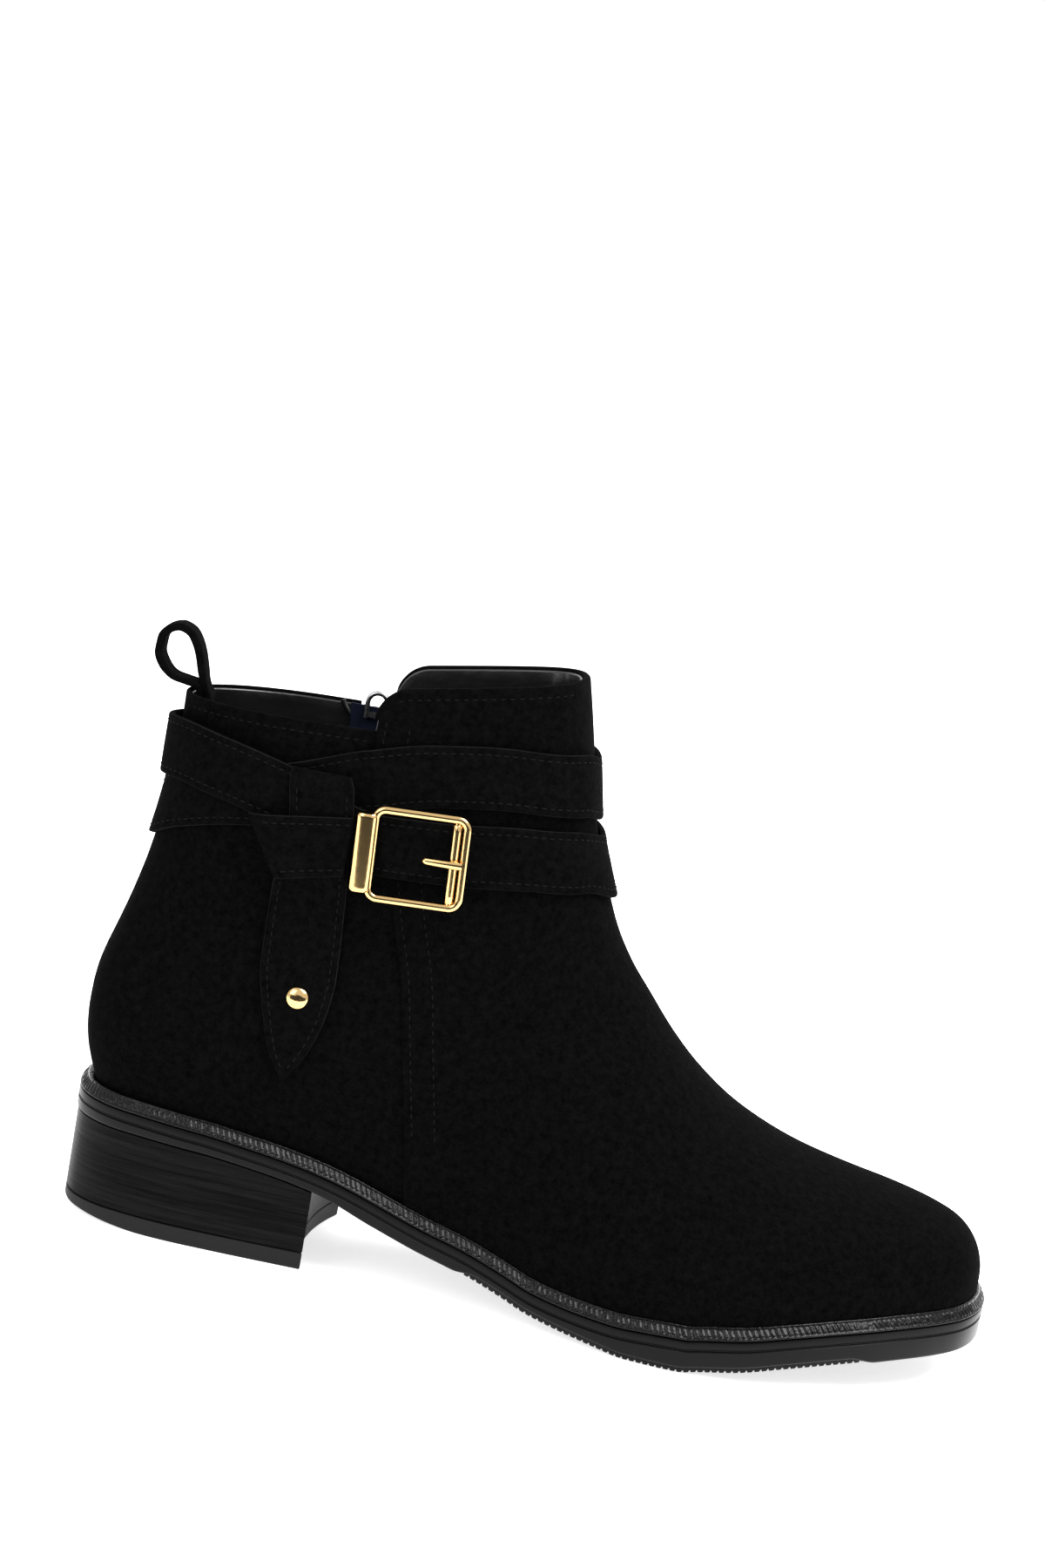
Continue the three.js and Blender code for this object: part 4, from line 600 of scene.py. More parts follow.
# The notch's step only shows in the columns of the inner side
on_inner = np.concatenate([[False] * len(seam_edge), vamp_main > 0.5, [True] * len(zip_edge)])
shell("upper_vamp", seam_line, zip_front, vamp_main,
      lambda x: np.where(on_inner, collar_z(x), vamp_collar(x)),
      PANEL, -1.4, seam_edge, zip_edge, suede, "suede", 120, ["upper"])
shell("upper_quarter", zip_rear, under_seam, np.linspace(0.012, 0.99, 280), rear_collar, 0, -1.4, rear_edge,
      [(0, -0.05)], suede, "suede", 110)
lining_main = dense([notch_share(zip_rear, zip_front, hand) for hand in (-1, 1)], 0.01)
shell("upper_lining", zip_rear, zip_front, lining_main, lambda x: collar_z(x) - 0.9, -WALL, -1.3, [(0, -1.6)],
      [(0, -1.6)], lining, "lining", 90, inside=True)


# Straps and other things wound on the shaft
def panel_lift(x, z, hand):
    edge = np.where(hand < 0, seam_x(z), zip_x(z) + ZIP_SLOT / 2)
    return PANEL * ease((x - edge + 4) / 3)


def shaft_at(turn, z):
    wound = np.abs(np.where(turn > 1, 2 - turn, turn))
    s = (1 - np.cos(np.pi * wound)) / 2
    hand = np.where((turn < 0) | (turn > 1), 1.0, -1.0)
    return face_point(mix(back_x(z), front_x(z), s), z, hand), hand


def shaft_point(turn, z, lift):
    turn, z = np.broadcast_arrays(np.asarray(turn, float), np.asarray(z, float))
    forward = shaft_at(turn + 0.004, z)[0] - shaft_at(turn - 0.004, z)[0]
    upward = shaft_at(turn, z + 0.3)[0] - shaft_at(turn, z - 0.3)[0]
    place, hand = shaft_at(turn, z)
    lift = lift + panel_lift(place[..., 0], z, hand)
    return place + unit(np.cross(forward, upward)) * lift[..., None]


girth_turns = np.linspace(0, 1, 241)
girth_length = run_of(shaft_point(girth_turns, back_top - STRAP_WIDTH, 0))


def girth_read(value, source, target):
    """Reads the outer half girth's table, and its mirror beyond either end, where the inner side is."""
    value, end = np.asarray(value, float), source[-1]
    half = np.interp(np.abs(np.where(value > end, 2 * end - value, value)), source, target)
    return np.where(value < 0, -half, np.where(value > end, 2 * target[-1] - half, half))


def turn_to_length(turn):
    return girth_read(turn, girth_turns, girth_length)


def length_to_turn(length):
    return girth_read(length, girth_length, girth_turns)


def band_profile(half):
    """A strap's section as (across, up) points, anticlockwise: rounded edges, a stitch groove near each."""
    across = np.concatenate([
        [-1, -0.985, -0.955, -0.9], np.linspace(-0.84, -0.7, 5), np.linspace(-0.6, 0.6, 7),
        np.linspace(0.7, 0.84, 5), [0.9, 0.955, 0.985, 1]])
    rim = (1 - np.abs(across)) * half
    top = STRAP_THICK * (0.78 + 0.22 * np.sqrt(1 - (1 - np.clip(rim / 0.7, 0, 1)) ** 2))
    groove = GROOVE_DEPTH * np.exp(-((rim - STITCH_INSET) / GROOVE_HALF) ** 2)
    top = top - groove + 0.08 * np.clip(rim / half, 0, 1)
    lower_side = np.array([[-1, 0.25], [-0.97, 0], [0, 0], [0.97, 0], [1, 0.25]]) * [half, 1]
    return np.concatenate([line_of(across * half, top)[::-1], lower_side])


STRAP_UPPER = [
    (-0.425, 0.718, 0), (-0.2, 0.707, 0), (0, 0.699, 0), (0.14, 0.749, 0), (0.244, 0.789, 0),
    (0.367, 0.828, 0), (0.51, 0.907, 0), (0.595, 0.942, 0), (0.75, 0.968, 0), (0.905, 0.966, 0),
    (1, 0.947, 0), (1.12, 0.956, 0), (1.3, 0.949, 0), (1.475, 0.927, 0),
]
STRAP_CROSS = [
    (-0.425, 0.9, 0), (-0.2, 0.877, 0), (-0.06, 0.861, 0.2), (0.01, 0.862, 0.8), (0.07, 0.866, 1),
    (0.15, 0.871, 1), (0.244, 0.861, 1), (0.36, 0.83, 1), (0.4, 0.805, 1), (0.43, 0.784, 1),
    (0.455, 0.767, 1), (0.48, 0.757, 1.15), (0.51, 0.752, 1.15), (0.565, 0.755, 0.7), (0.63, 0.761, 0.2),
    (0.68, 0.77, 0), (0.758, 0.781, 0), (0.861, 0.783, 0), (1, 0.756, 0.1), (1.12, 0.77, 0.15),
    (1.3, 0.767, 0), (1.475, 0.756, 0),
]
STRAP_GAP, LAYER, RIM, TAB_RIM_HALF = 0.3, 2.0, 0.35, 9
STITCH_INSET, STITCH_SINK, GROOVE_DEPTH, GROOVE_HALF = 2.0, 0.12, 0.16, 0.55
STITCH_AT = STRAP_WIDTH / 2 - STITCH_INSET


def band_object(name, grid, half, nodes):
    """A strap body whose upper rims carry a painted highlight, a little lighter than its nap."""
    points, faces = loft(grid)
    obj = new_object(name, points, faces, strap_suede, nodes, "suede")
    obj.data.materials.append(painted_rim_highlight)
    profile = band_profile(half)
    # Painted highlight: the rim faces above the strap's foot get the lighter suede
    painted_highlight_points = (np.abs(profile[:, 0]) > half - RIM) & (profile[:, 1] > 0.3)
    index = np.zeros(len(faces), "i")
    index[:-2] = np.tile(painted_highlight_points & np.roll(painted_highlight_points, -1), len(grid) - 1)
    obj.data.polygons.foreach_set("material_index", index)
    close(obj, 50)


def stitch_rows(point, run, across):
    """The two rows of stitch places on a strap's top, each with its outward direction."""
    rows = []
    for hand in (-1, 1):
        low = point(run, hand * across, STRAP_THICK - STITCH_SINK)
        rows.append((low, unit(point(run, hand * across, STRAP_THICK + 0.5) - low)))
    return rows


class Strap:
    """A strap wound on the shaft, from rows of turn, height and layer."""
    def __init__(self, rows, wave):
        self.height, self.layer = curves(rows)
        self.first, self.last = turn_to_length(rows[0][0]), turn_to_length(rows[-1][0])
        self.wave = wave

    def z_at(self, length):
        return seat_z + BACK_RISE * self.height(length_to_turn(length))

    def point(self, length, shift, up):
        length, shift, up = np.broadcast_arrays(*[np.asarray(v, float) for v in (length, shift, up)])
        slope = np.arctan2(self.z_at(length + 1) - self.z_at(length - 1), 2)
        turn = length_to_turn(length - shift * np.sin(slope))
        z = self.z_at(length) + shift * np.cos(slope)
        wave = self.wave * np.sin(length * 0.11 + 1.3) * (0.5 + 0.5 * np.sin(length * 0.037))
        return shaft_point(turn, z, STRAP_GAP + self.layer(length_to_turn(length)) * LAYER + wave + up)

    def build(self, name, node, steps=420):
        across, up = band_profile(STRAP_WIDTH / 2).T
        grid = self.point(np.linspace(self.first, self.last, steps)[:, None], across, up)
        band_object(name, grid, STRAP_WIDTH / 2, [node])

    def stitch_lines(self, end=4, count=900):
        return stitch_rows(self.point, np.linspace(self.first + end, self.last - end, count), STITCH_AT)


def stitches(name, lines, pitch=2.45, length=1.55, radius=0.24):
    """Rows of thread, each stitch a small arched capsule sunk at both ends."""
    sides = 6
    turn = (np.arange(sides) * 2 * math.pi / sides)[:, None]
    rings = [(-0.5, 0.45, -0.28), (-0.36, 0.9, -0.02), (-0.12, 1, 0.12), (0.12, 1, 0.12), (0.36, 0.9, -0.02),
             (0.5, 0.45, -0.28)]
    points, faces = [], []
    block = loft(np.zeros((len(rings), sides, 3)))[1]
    for line, normals in lines:
        run = run_of(line)
        count = int(run[-1] / pitch)
        for at in (np.arange(count) + 0.5) * run[-1] / max(1, count):
            centre, ahead, behind, out = (
                np.array([np.interp(place, run, column) for column in rows.T])
                for rows, place in ((line, at), (line, at + 0.4), (line, at - 0.4), (normals, at)))
            forward = unit(ahead - behind)
            sideways = unit(np.cross(out, forward))
            out = np.cross(forward, sideways)
            start = len(points) * sides
            for u, r, h in rings:
                ring = centre + forward * (u * length) + out * (h * radius * 1.2)
                points.append(ring + radius * r * (np.cos(turn) * sideways + np.sin(turn) * out))
            faces += [[k + start for k in face] for face in block]
    new_object(name, np.array(points), faces, thread, (), "suede")


strap_a = Strap(STRAP_UPPER, 0.12)
strap_c = Strap(STRAP_CROSS, 0.15)
strap_a.build("strap_upper_band", "strap_upper")
strap_c.build("strap_cross_band", "strap_cross")
stitches("strap_stitches", strap_a.stitch_lines() + strap_c.stitch_lines())


def side_point(x, z, hand, lift):
    x, z = np.broadcast_arrays(np.asarray(x, float), np.asarray(z, float))
    forward = face_point(x + 0.4, z, hand) - face_point(x - 0.4, z, hand)
    upward = face_point(x, z + 0.4, hand) - face_point(x, z - 0.4, hand)
    normal = unit(np.cross(forward, upward))
    normal = normal * np.where(normal[..., 1:2] * hand < 0, -1, 1)
    lift = np.asarray(lift, float)
    lift = lift + np.where(lift > 0, panel_lift(x, z, hand), 0)
    return face_point(x, z, hand) + normal * lift[..., None]


# The tab: folded over the upper edge of the crossing strap, its pointed end riveted down
TAB = [
    (0.905, -0.129, 0.44, 2), (0.88, -0.124, 0.45, 2), (0.782, -0.053, 0.45, 2), (0.713, -0.052, 0.47, 2),
    (0.66, -0.053, 0.495, 2), (0.605, -0.053, 0.52, 0.9), (0.54, -0.042, 0.53, 0.25),
    (0.487, -0.026, 0.54, 0.1), (0.408, 0, 0.54, 0.1), (0.33, 0.033, 0.48, 0.1), (0.261, 0.052, 0.38, 0.1),
    (0.197, 0.048, 0.24, 0.1), (0.137, 0.059, 0.02, 0.1),
]
BUCKLE_AT, TAB_BACK = 0.3196, 27.1
tab_shift, tab_half, tab_layer = curves(TAB[::-1])


def tab_x(h):
    return along(BUCKLE_AT) - TAB_BACK + tab_shift(h) * TAB_WIDTH


def tab_surface(h, k, up):
    """A tab point by height share, place across from -1 to 1 and height in its thickness."""
    h, k, up = np.broadcast_arrays(*[np.asarray(v, float) for v in (h, k, up)])
    corner = 1 - 0.3 * (1 - ease((TAB[0][0] - h) / 0.03)) * np.clip(k - 0.6, 0, 1)
    x = tab_x(h) + k * corner * tab_half(h) * TAB_WIDTH
    return side_point(x, seat_z + BACK_RISE * h, -1, STRAP_GAP + tab_layer(h) * LAYER + up)


def build_tab():
    grid, top = [], TAB[0][0]
    for height in mix(top, TAB[-1][0], np.sin(np.linspace(0, np.pi / 2, 110))):
        half = max(0.4, float(tab_half(height)) * TAB_WIDTH)
        across, up = band_profile(half).T
        thinner = 0.5 * (1 - math.sqrt(1 - (1 - min(1, (top - height) * BACK_RISE / 1.4)) ** 2))
        grid.append(tab_surface(height, across / half, up * (1 - thinner)))
    band_object("tab_band", np.array(grid), TAB_RIM_HALF, ["strap_tab"])


build_tab()
tab_rows = np.linspace(0.86, 0.165, 500)
tab_inset = 1 - STITCH_INSET / np.maximum(2.4, tab_half(tab_rows) * TAB_WIDTH)
stitches("tab_stitches", stitch_rows(tab_surface, tab_rows, tab_inset))

# The short strap that carries the buckle, folded back on a slant
BUCKLE_STRAP = [(0, 0.738, 3), (0.574, 0.716, 3), (0.85, 0.704, 3), (1, 0.699, 2.6)]
FOLD_SLANT, CARRY_LENGTH = 4.6, 23.4
BUCKLE_LENGTH, BUCKLE_HEIGHT, BUCKLE_BAR, BUCKLE_THICK, BUCKLE_CORNER = 27.8, 27.3, 2.3, 2.4, 3.4
CLIP_LENGTH, CLIP_HEIGHT, CLIP_GRIP, CLIP_SPACE = 5.9, 22, 1.75, 1.3
clip_front = CLIP_GRIP - BUCKLE_LENGTH / 2
clip_back = clip_front - CLIP_LENGTH
carry_front = along(BUCKLE_AT) + clip_back - CLIP_SPACE
carry_height, carry_layer = curves(BUCKLE_STRAP)


def carry_point(back, shift, up):
    back, shift, up = np.broadcast_arrays(*[np.asarray(v, float) for v in (back, shift, up)])
    x = carry_front - back * CARRY_LENGTH - shift / (STRAP_WIDTH / 2) * FOLD_SLANT * back
    z = seat_z + BACK_RISE * carry_height(back) + shift
    return side_point(x, z, -1, STRAP_GAP + carry_layer(back) * LAYER + up)


def build_carry():
    across, up = band_profile(STRAP_WIDTH / 2).T
    backs = 1 - np.linspace(0, 1, 90)[:, None] ** 1.3
    fold = np.clip((1 - backs) * CARRY_LENGTH / 1.7, 0, 1)
    squeeze = 0.35 + 0.65 * np.sqrt(1 - (1 - fold) ** 2)
    grid = carry_point(backs, across, STRAP_THICK / 2 + (up - STRAP_THICK / 2) * squeeze)
    band_object("buckle_strap_band", grid, STRAP_WIDTH / 2, ["buckle_strap"])


build_carry()
stitches("buckle_strap_stitches", stitch_rows(carry_point, np.linspace(0.9, 0, 200), STITCH_AT))


# Rods, bands and plates
def sweep(centres, outs, width, thick, power=0.5, count=20, closed=False):
    """A rounded bar along a path: width across it, thick along the outward direction."""
    centres, outs = np.asarray(centres, float), np.broadcast_to(outs, np.shape(centres))
    if closed:
        forward = unit(np.roll(centres, -1, 0) - np.roll(centres, 1, 0))
    else:
        forward = unit(np.gradient(centres, axis=0))
    outs = unit(outs - forward * np.sum(outs * forward, -1, keepdims=True))
    across = np.cross(forward, outs)
    angle = np.arange(count) * 2 * math.pi / count
    c = np.sign(np.cos(angle)) * np.abs(np.cos(angle)) ** power
    s = np.sign(np.sin(angle)) * np.abs(np.sin(angle)) ** power
    width, thick = (np.broadcast_to(size, len(centres))[:, None, None] / 2 for size in (width, thick))
    grid = centres[:, None] + across[:, None] * c[:, None] * width + outs[:, None] * s[:, None] * thick
    if closed:
        return grid.reshape(-1, 3), list(grid_faces(len(centres), count, True, True))
    return loft(grid)


def placed(points, matrix):
    return points @ matrix[:3, :3].T + matrix[:3, 3]


def outward(x, z, hand):
    return unit(side_point(x, z, hand, 1) - side_point(x, z, hand, 0.001))


def face_frame(x, z, hand, lift):
    """A frame on the face: across, up, outward and the place."""
    normal = outward(x, z, hand)
    upward = unit(side_point(x, z + 0.5, hand, 0) - side_point(x, z - 0.5, hand, 0))
    across = unit(np.cross(upward, normal))
    matrix = np.eye(4)
    matrix[:3] = np.column_stack([across, np.cross(normal, across), normal, side_point(x, z, hand, lift)])
    return matrix


def rounded_path(width, height, radius, corner=9, edge=10):
    w, h = width / 2 - radius, height / 2 - radius
    corners = [(w, h, 0), (-w, h, 90), (-w, -h, 180), (w, -h, 270)]
    out = []
    for n, (x, y, start) in enumerate(corners):
        for a in np.radians(np.linspace(start, start + 90, corner)):
            out.append((x + radius * math.cos(a), y + radius * math.sin(a)))
        nx, ny, following = corners[(n + 1) % 4]
        a = math.radians(following)
        end = (nx + radius * math.cos(a), ny + radius * math.sin(a))
        out += [tuple(mix(np.array(out[-1]), np.array(end), t)) for t in np.linspace(0, 1, edge)[1:-1]]
    return np.array(out)


def slab(outline, levels, hole=None):
    """A plate from an outline: levels are (inset as a share, height), with an optional hole."""
    outline = np.asarray(outline, float)
    centre = outline.mean(0)
    rings = [line_of(*(centre + (outline - centre) * (1 - inset)).T, z) for inset, z in levels]
    if hole is None:
        return loft(np.array(rings))
    count = len(outline)
    last, start = (len(rings) - 1) * count, len(rings) * count
    faces = list(grid_faces(len(rings), count, wrap_columns=True))
    for k in range(count):
        n = (k + 1) % count
        faces.append([start + k, start + n, n, k])
        faces.append([last + k, last + n, start + count + n, start + count + k])
        faces.append([start + n, start + k, start + count + k, start + count + n])
    return np.concatenate(rings + [line_of(*hole.T, levels[0][1]), line_of(*hole.T, levels[-1][1])]), faces


def joined(parts):
    points, faces, start = [], [], 0
    for p, f in parts:
        points.append(np.asarray(p, float).reshape(-1, 3))
        faces += [[int(i) + start for i in face] for face in f]
        start += len(points[-1])
    return np.concatenate(points), faces


def metal_piece(name, parts, matrix, mat, nodes, slot, degrees, body=BODY):
    points, faces = joined(parts)
    solid(name, (placed(points, matrix), faces), mat, nodes, slot, degrees, body)


# Buckle: frame with a second bar and a short prong, clip plate and rivet
BUCKLE_RISE, BUCKLE_LIFT, BUCKLE_TURN = 0.744, 5.6, math.radians(3)
ROD_THICK, PIN_THICK, PRONG_LENGTH, PRONG_WIDTH, PRONG_THICK, FACING = 2.6, 1.7, 11.3, 2.3, 1.8, (0, 0, 1)
turned, cos, sin = np.eye(4), math.cos(BUCKLE_TURN), math.sin(BUCKLE_TURN)
turned[:2, :2] = [[cos, -sin], [sin, cos]]
buckle_matrix = face_frame(along(BUCKLE_AT), seat_z + BACK_RISE * BUCKLE_RISE, -1, BUCKLE_LIFT) @ turned
outline = rounded_path(BUCKLE_LENGTH - BUCKLE_BAR, BUCKLE_HEIGHT - BUCKLE_BAR, BUCKLE_CORNER - 0.6)
middle = BUCKLE_THICK / 2
ring = sweep(line_of(*outline.T, middle), FACING, BUCKLE_BAR, BUCKLE_THICK, 0.85, 20, True)
far_edge = BUCKLE_LENGTH / 2
rod_x = far_edge - BUCKLE_BAR - 0.35 - ROD_THICK / 2
rod_y = np.concatenate([[-1, -0.995], np.linspace(-0.985, 0.985, 12), [0.995, 1]])
rod_y = rod_y * (BUCKLE_HEIGHT / 2 - BUCKLE_BAR - 0.25)
rod_width = np.full(16, ROD_THICK)
rod_width[[0, -1]], rod_width[[1, -2]] = 2.0, 2.4
rod = sweep(line_of(rod_x, rod_y, middle), FACING, rod_width, rod_width, 1, 24)
pin_y = np.linspace(-1, 1, 4) * (BUCKLE_HEIGHT / 2 - BUCKLE_BAR / 2)
pin = sweep(line_of(rod_x, pin_y, middle), FACING, PIN_THICK, PIN_THICK, 1, 14)
prong_x = np.linspace(far_edge - BUCKLE_BAR * 0.6, far_edge - BUCKLE_BAR / 2 - PRONG_LENGTH, 30)
along_prong = np.linspace(0, 1, 30)
taper = 1 - 0.2 * along_prong
taper[-3:] = 0.76, 0.62, 0.3
prong = line_of(prong_x, 0, BUCKLE_THICK + 0.55 - 1.1 * along_prong ** 2)
prong = sweep(prong, FACING, PRONG_WIDTH * taper, PRONG_THICK * taper, 0.8, 18)
metal_piece("buckle_ring", [ring, rod, pin, prong], buckle_matrix, gold, ["buckle_frame"], "gold", 50)
clip_rows = np.linspace(-1, 1, 44)
clip_ends = np.clip((1 - np.abs(clip_rows)) * CLIP_HEIGHT / 2 / 0.8, 0, 1)
clip_ends = 0.86 + 0.14 * np.sqrt(1 - (1 - clip_ends) ** 2)
clip_line = line_of((clip_front + clip_back) / 2, clip_rows * CLIP_HEIGHT / 2, middle + 0.1)
clip = sweep(clip_line, FACING, CLIP_LENGTH * clip_ends, (BUCKLE_THICK + 2.2) * clip_ends, 0.75, 40)
metal_piece("buckle_clip_plate", [clip], buckle_matrix, gold, ["buckle_clip"], "gold", 50)
RIVET_RISE, RIVET_SHIFT = 0.342, 0.6
rivet_matrix = face_frame(float(tab_x(RIVET_RISE)) + RIVET_SHIFT, seat_z + BACK_RISE * RIVET_RISE, -1,
                          STRAP_GAP + 0.1 * LAYER + STRAP_THICK - 0.1)
rivet_rings = [(3.15, 0), (3.2, 0.35), (3.05, 0.62), (2.6, 0.98), (1.95, 1.27), (1.2, 1.44), (0.5, 1.51),
               (0.05, 1.52)]
around = np.arange(48) * 2 * math.pi / 48
rivet = loft(np.array([line_of(r * np.cos(around), r * np.sin(around), z) for r, z in rivet_rings]))
metal_piece("rivet_cap", [rivet], rivet_matrix, gold, ["rivet"], "gold", None)

# Pull loop at the back of the collar
LOOP_THICK, LOOP_WIDTH, LOOP_REACH, LOOP_HEIGHT, LOOP_SPACE = 2, 8, 13.7, 17.1, 0.3
loop_rear = float(back_x(back_top)) + WALL + LOOP_SPACE + 0.9 + LOOP_THICK / 2
LOOP_PATH = [
    (0, 0, -0.526), (0, 0, -0.129), (0, 0.07, 0.085), (0, 0.325, 0.123), (0, 0.59, 0.158),
    (0, 0.862, 0.316), (0, 1, 0.55), (0, 0.985, 0.772), (0, 0.832, 0.942), (0, 0.628, 1), (0, 0.424, 0.947),
    (0, 0.256, 0.784), (1, 0.307, 0.573), (1, 0.226, 0.357), (1, 0.131, 0.129), (1, 0, -0.094),
    (1, 0, -0.526),
]
loop_path = path_of([
    (loop_rear + end * (LOOP_THICK + LOOP_SPACE) - reach * LOOP_REACH, back_top + rise * LOOP_HEIGHT)
    for end, reach, rise in LOOP_PATH])
xz = loop_path(np.linspace(0, 1, 160))
step = np.gradient(xz, axis=0)
loop_line, loop_out = line_of(xz[:, 0], 0, xz[:, 1]), unit(line_of(-step[:, 1], 0, step[:, 0]))
loop_thick = LOOP_THICK + 0.4 * ease((xz[:, 1] - back_top - 3) / 3)
loop = sweep(loop_line, loop_out, LOOP_WIDTH, loop_thick, 0.28, 28)
solid("pull_loop_band", loop, strap_suede, ["pull_loop"], "suede", 50)
loop_lines = []
for y in (-LOOP_WIDTH / 2 + 1.9, LOOP_WIDTH / 2 - 1.9):
    for hand in (-1, 1):
        line = loop_line + loop_out * hand * (LOOP_THICK / 2 - STITCH_SINK) + [0, y, 0]
        loop_lines.append((line[3:-3], (loop_out * hand)[3:-3]))
stitches("pull_loop_stitches", loop_lines, 2.6, 1.8, 0.26)


# Sole: plan outlines with a margin outside the last
def plan_point(turn, margin, step=0.0015):
    def edge(t):
        s = (1 - np.cos(2 * np.pi * t)) / 2
        x = mix(HEEL_X, TOE_X, s)
        hand = np.where(t - np.floor(t) <= 0.5, -1.0, 1.0)
        half = BALL_WIDTH * np.where(hand < 0, half_outer(turn_of(s)), half_inner(turn_of(s)))
        return np.stack([x, centre_y(x) + hand * half], -1)
    turn = np.asarray(turn, float)
    ahead, behind = edge(turn + step), edge(turn - step)
    run = ahead - behind
    normal = np.stack([run[..., 1], -run[..., 0]], -1)
    return edge(turn) + unit(normal) * np.asarray(margin, float)[..., None]


def even_turns(count):
    """Turns spaced evenly by length round the sole's edge."""
    t = np.linspace(0, 1, 6001)
    run = run_of(plan_point(t, WELT_OUT))
    return np.interp(np.arange(count) * run[-1] / count, run, t), run[-1]


TREAD_START, TREAD_END, TREAD_RAMP = 0.435, 0.9, 0.03


def base(x):
    at = share_at(x)
    inside = np.minimum(ease((at - TREAD_START) / TREAD_RAMP), ease((TREAD_END - at) / TREAD_RAMP))
    return ground(x) + TREAD * inside


def ring_of(turns, profile):
    """A band round the sole: each profile row is a margin, a height line and the height over it."""
    margins = np.array([np.broadcast_to(margin, len(turns)) for margin, _, _ in profile])
    plan = plan_point(turns[None, :], margins)
    z = np.stack([height(plan[i, :, 0]) + over for i, (_, height, over) in enumerate(profile)])
    return line_of(plan[..., 0], plan[..., 1], z)


def plan_cap(turns, margin, height, over):
    """A floor or ceiling over the plan, from the outer edge to the inner edge."""
    half = turns[:len(turns) // 2 + 1]
    k = np.linspace(0, 1, 14)[None, :, None]
    grid = plan_point(half, margin)[:, None] * (1 - k) + plan_point(1 - half, margin)[:, None] * k
    grid = np.concatenate([grid, height(grid[..., :1]) + over], -1)
    return grid.reshape(-1, 3), grid_faces(*grid.shape[:2])


def plan_solid(name, count, profile, mat, nodes, slot, degrees):
    """A sheet of the sole: its edge all round, closed by a floor and a ceiling."""
    turns, _ = even_turns(count)
    ring = (ring_of(turns, profile), grid_faces(len(profile), count, wrap_columns=True))
    points, faces = plan_cap(turns, *profile[0])
    form = joined([ring, (points, faces[:, ::-1]), plan_cap(turns, *profile[-1])])
    solid(name, form, mat, nodes, slot, degrees)


def build_welt():
    """A knurled rand: a bead on the sole, a sloping textured band and a thin lip at the upper."""
    count, knurl_pitch, knurl_lean = 3600, 1.6, 0.35
    turns, length = even_turns(count)
    ribs = int(length / knurl_pitch)
    phase = np.arange(count) * ribs / count
    depth = np.interp(phase, np.arange(ribs + 1), np.random.default_rng(7).uniform(0.15, 1.15, ribs + 1))
    profile = [
        (-WELT_IN, 0.3, 0), (3.2, 0.3, 0), (3.5, 0.36, 0), (3.64, 0.55, 0), (3.6, 0.78, 0), (3.4, 0.95, 0),
        (3.12, 1.08, 0.12), (2.95, 1.4, 0.4), (2.7, 1.75, 0.45), (2.45, 2.1, 0.45), (2.2, 2.45, 0.45),
        (1.95, 2.8, 0.4), (1.75, 3.05, 0.12), (1.68, 3.25, 0), (1.66, 3.5, 0), (1.5, 3.74, 0),
        (1.2, 3.84, 0), (0.7, 3.8, 0), (0.2, 3.74, 0), (-WELT_IN, 3.7, 0),
    ]
    rows = [(m + k * depth * (0.5 - 0.5 * np.cos(2 * np.pi * (phase + knurl_lean * z))), sole_top, z)
            for m, z, k in profile]
    faces = grid_faces(len(profile), count, wrap_columns=True, wrap_rows=True)
    solid("welt_band", (ring_of(turns, rows), faces), welt_finish, ["welt"], "welt", 60)


def half_lookup(margin):
    """The sole's outer and inner edge, as y over x."""
    t = np.linspace(0, 0.5, 1601)
    outer, inner = plan_point(t, margin), plan_point(1 - t, margin)
    return [lambda x, edge=edge: np.interp(x, edge[:, 0], edge[:, 1]) for edge in (outer, inner)]


def build_tread():
    """A field of fine bars across the forefoot."""
    outer, inner = half_lookup(WELT_OUT - TREAD_INSET)
    start, end = along(TREAD_START + TREAD_RAMP / 2), along(TREAD_END - TREAD_RAMP / 2)
    pitch, per, groove_depth, rim_share = 1.9, 8, 0.55, 0.006
    x = np.linspace(start, end, int((end - start) / pitch) * per + 1)
    phase = (np.arange(len(x)) / per) % 1
    low = ground(x) + groove_depth * ease((phase - 0.6) / 0.12) * ease((0.98 - phase) / 0.12)
    v = np.concatenate([[0, rim_share], np.linspace(0.02, 0.98, 17), [1 - rim_share, 1]])
    y = outer(x)[:, None] * (1 - v) + inner(x)[:, None] * v
    lift = 0.35 * (1 - ease(np.minimum(v, 1 - v) / rim_share))
    roof = np.stack([line_of(x, edge(x), base(x) + 0.9) for edge in (inner, outer)], 1)
    form = loft(np.concatenate([line_of(x[:, None], y, low[:, None] + lift), roof], 1))
    solid("forefoot_tread", form, tread_finish, (), "sole", 30)


sole_outer, sole_inner = half_lookup(WELT_OUT)
SOLE_BACK = HEEL_X - WELT_OUT
heel_wide = abs(float(sole_outer(HEEL_X + HEEL_DEPTH / 2))) - HEEL_INSET
heel_taper = HEEL_BOTTOM_WIDTH / 2 / heel_wide
LIFT_LEVEL = TOP_LIFT / HEEL_HEIGHT


def heel_floor(x):
    return HEEL_ROLL * ease((SOLE_BACK + HEEL_ROLL_LENGTH - x) / HEEL_ROLL_LENGTH)


def heel_point(u, v, level):
    """A heel point: u from the back to the breast, v from the outer side to the inner side."""
    breast = HEEL_DEPTH / 2 - BREAST_HOLLOW * (1 - v * v) + BREAST_SKEW * (v + 1) / 2
    run = 1 - np.cos(np.pi * u / 2)
    plan_x = mix(SOLE_BACK, breast, run)
    half = np.abs(np.where(v < 0, sole_outer(plan_x), sole_inner(plan_x)))
    half = np.maximum(0, half - HEEL_INSET * np.minimum(1, 4 * run))
    back_at = SOLE_BACK + mix(HEEL_TUCK, HEEL_INSET, level)
    return mix(back_at, breast, run), v * half * mix(heel_taper, 1, level)


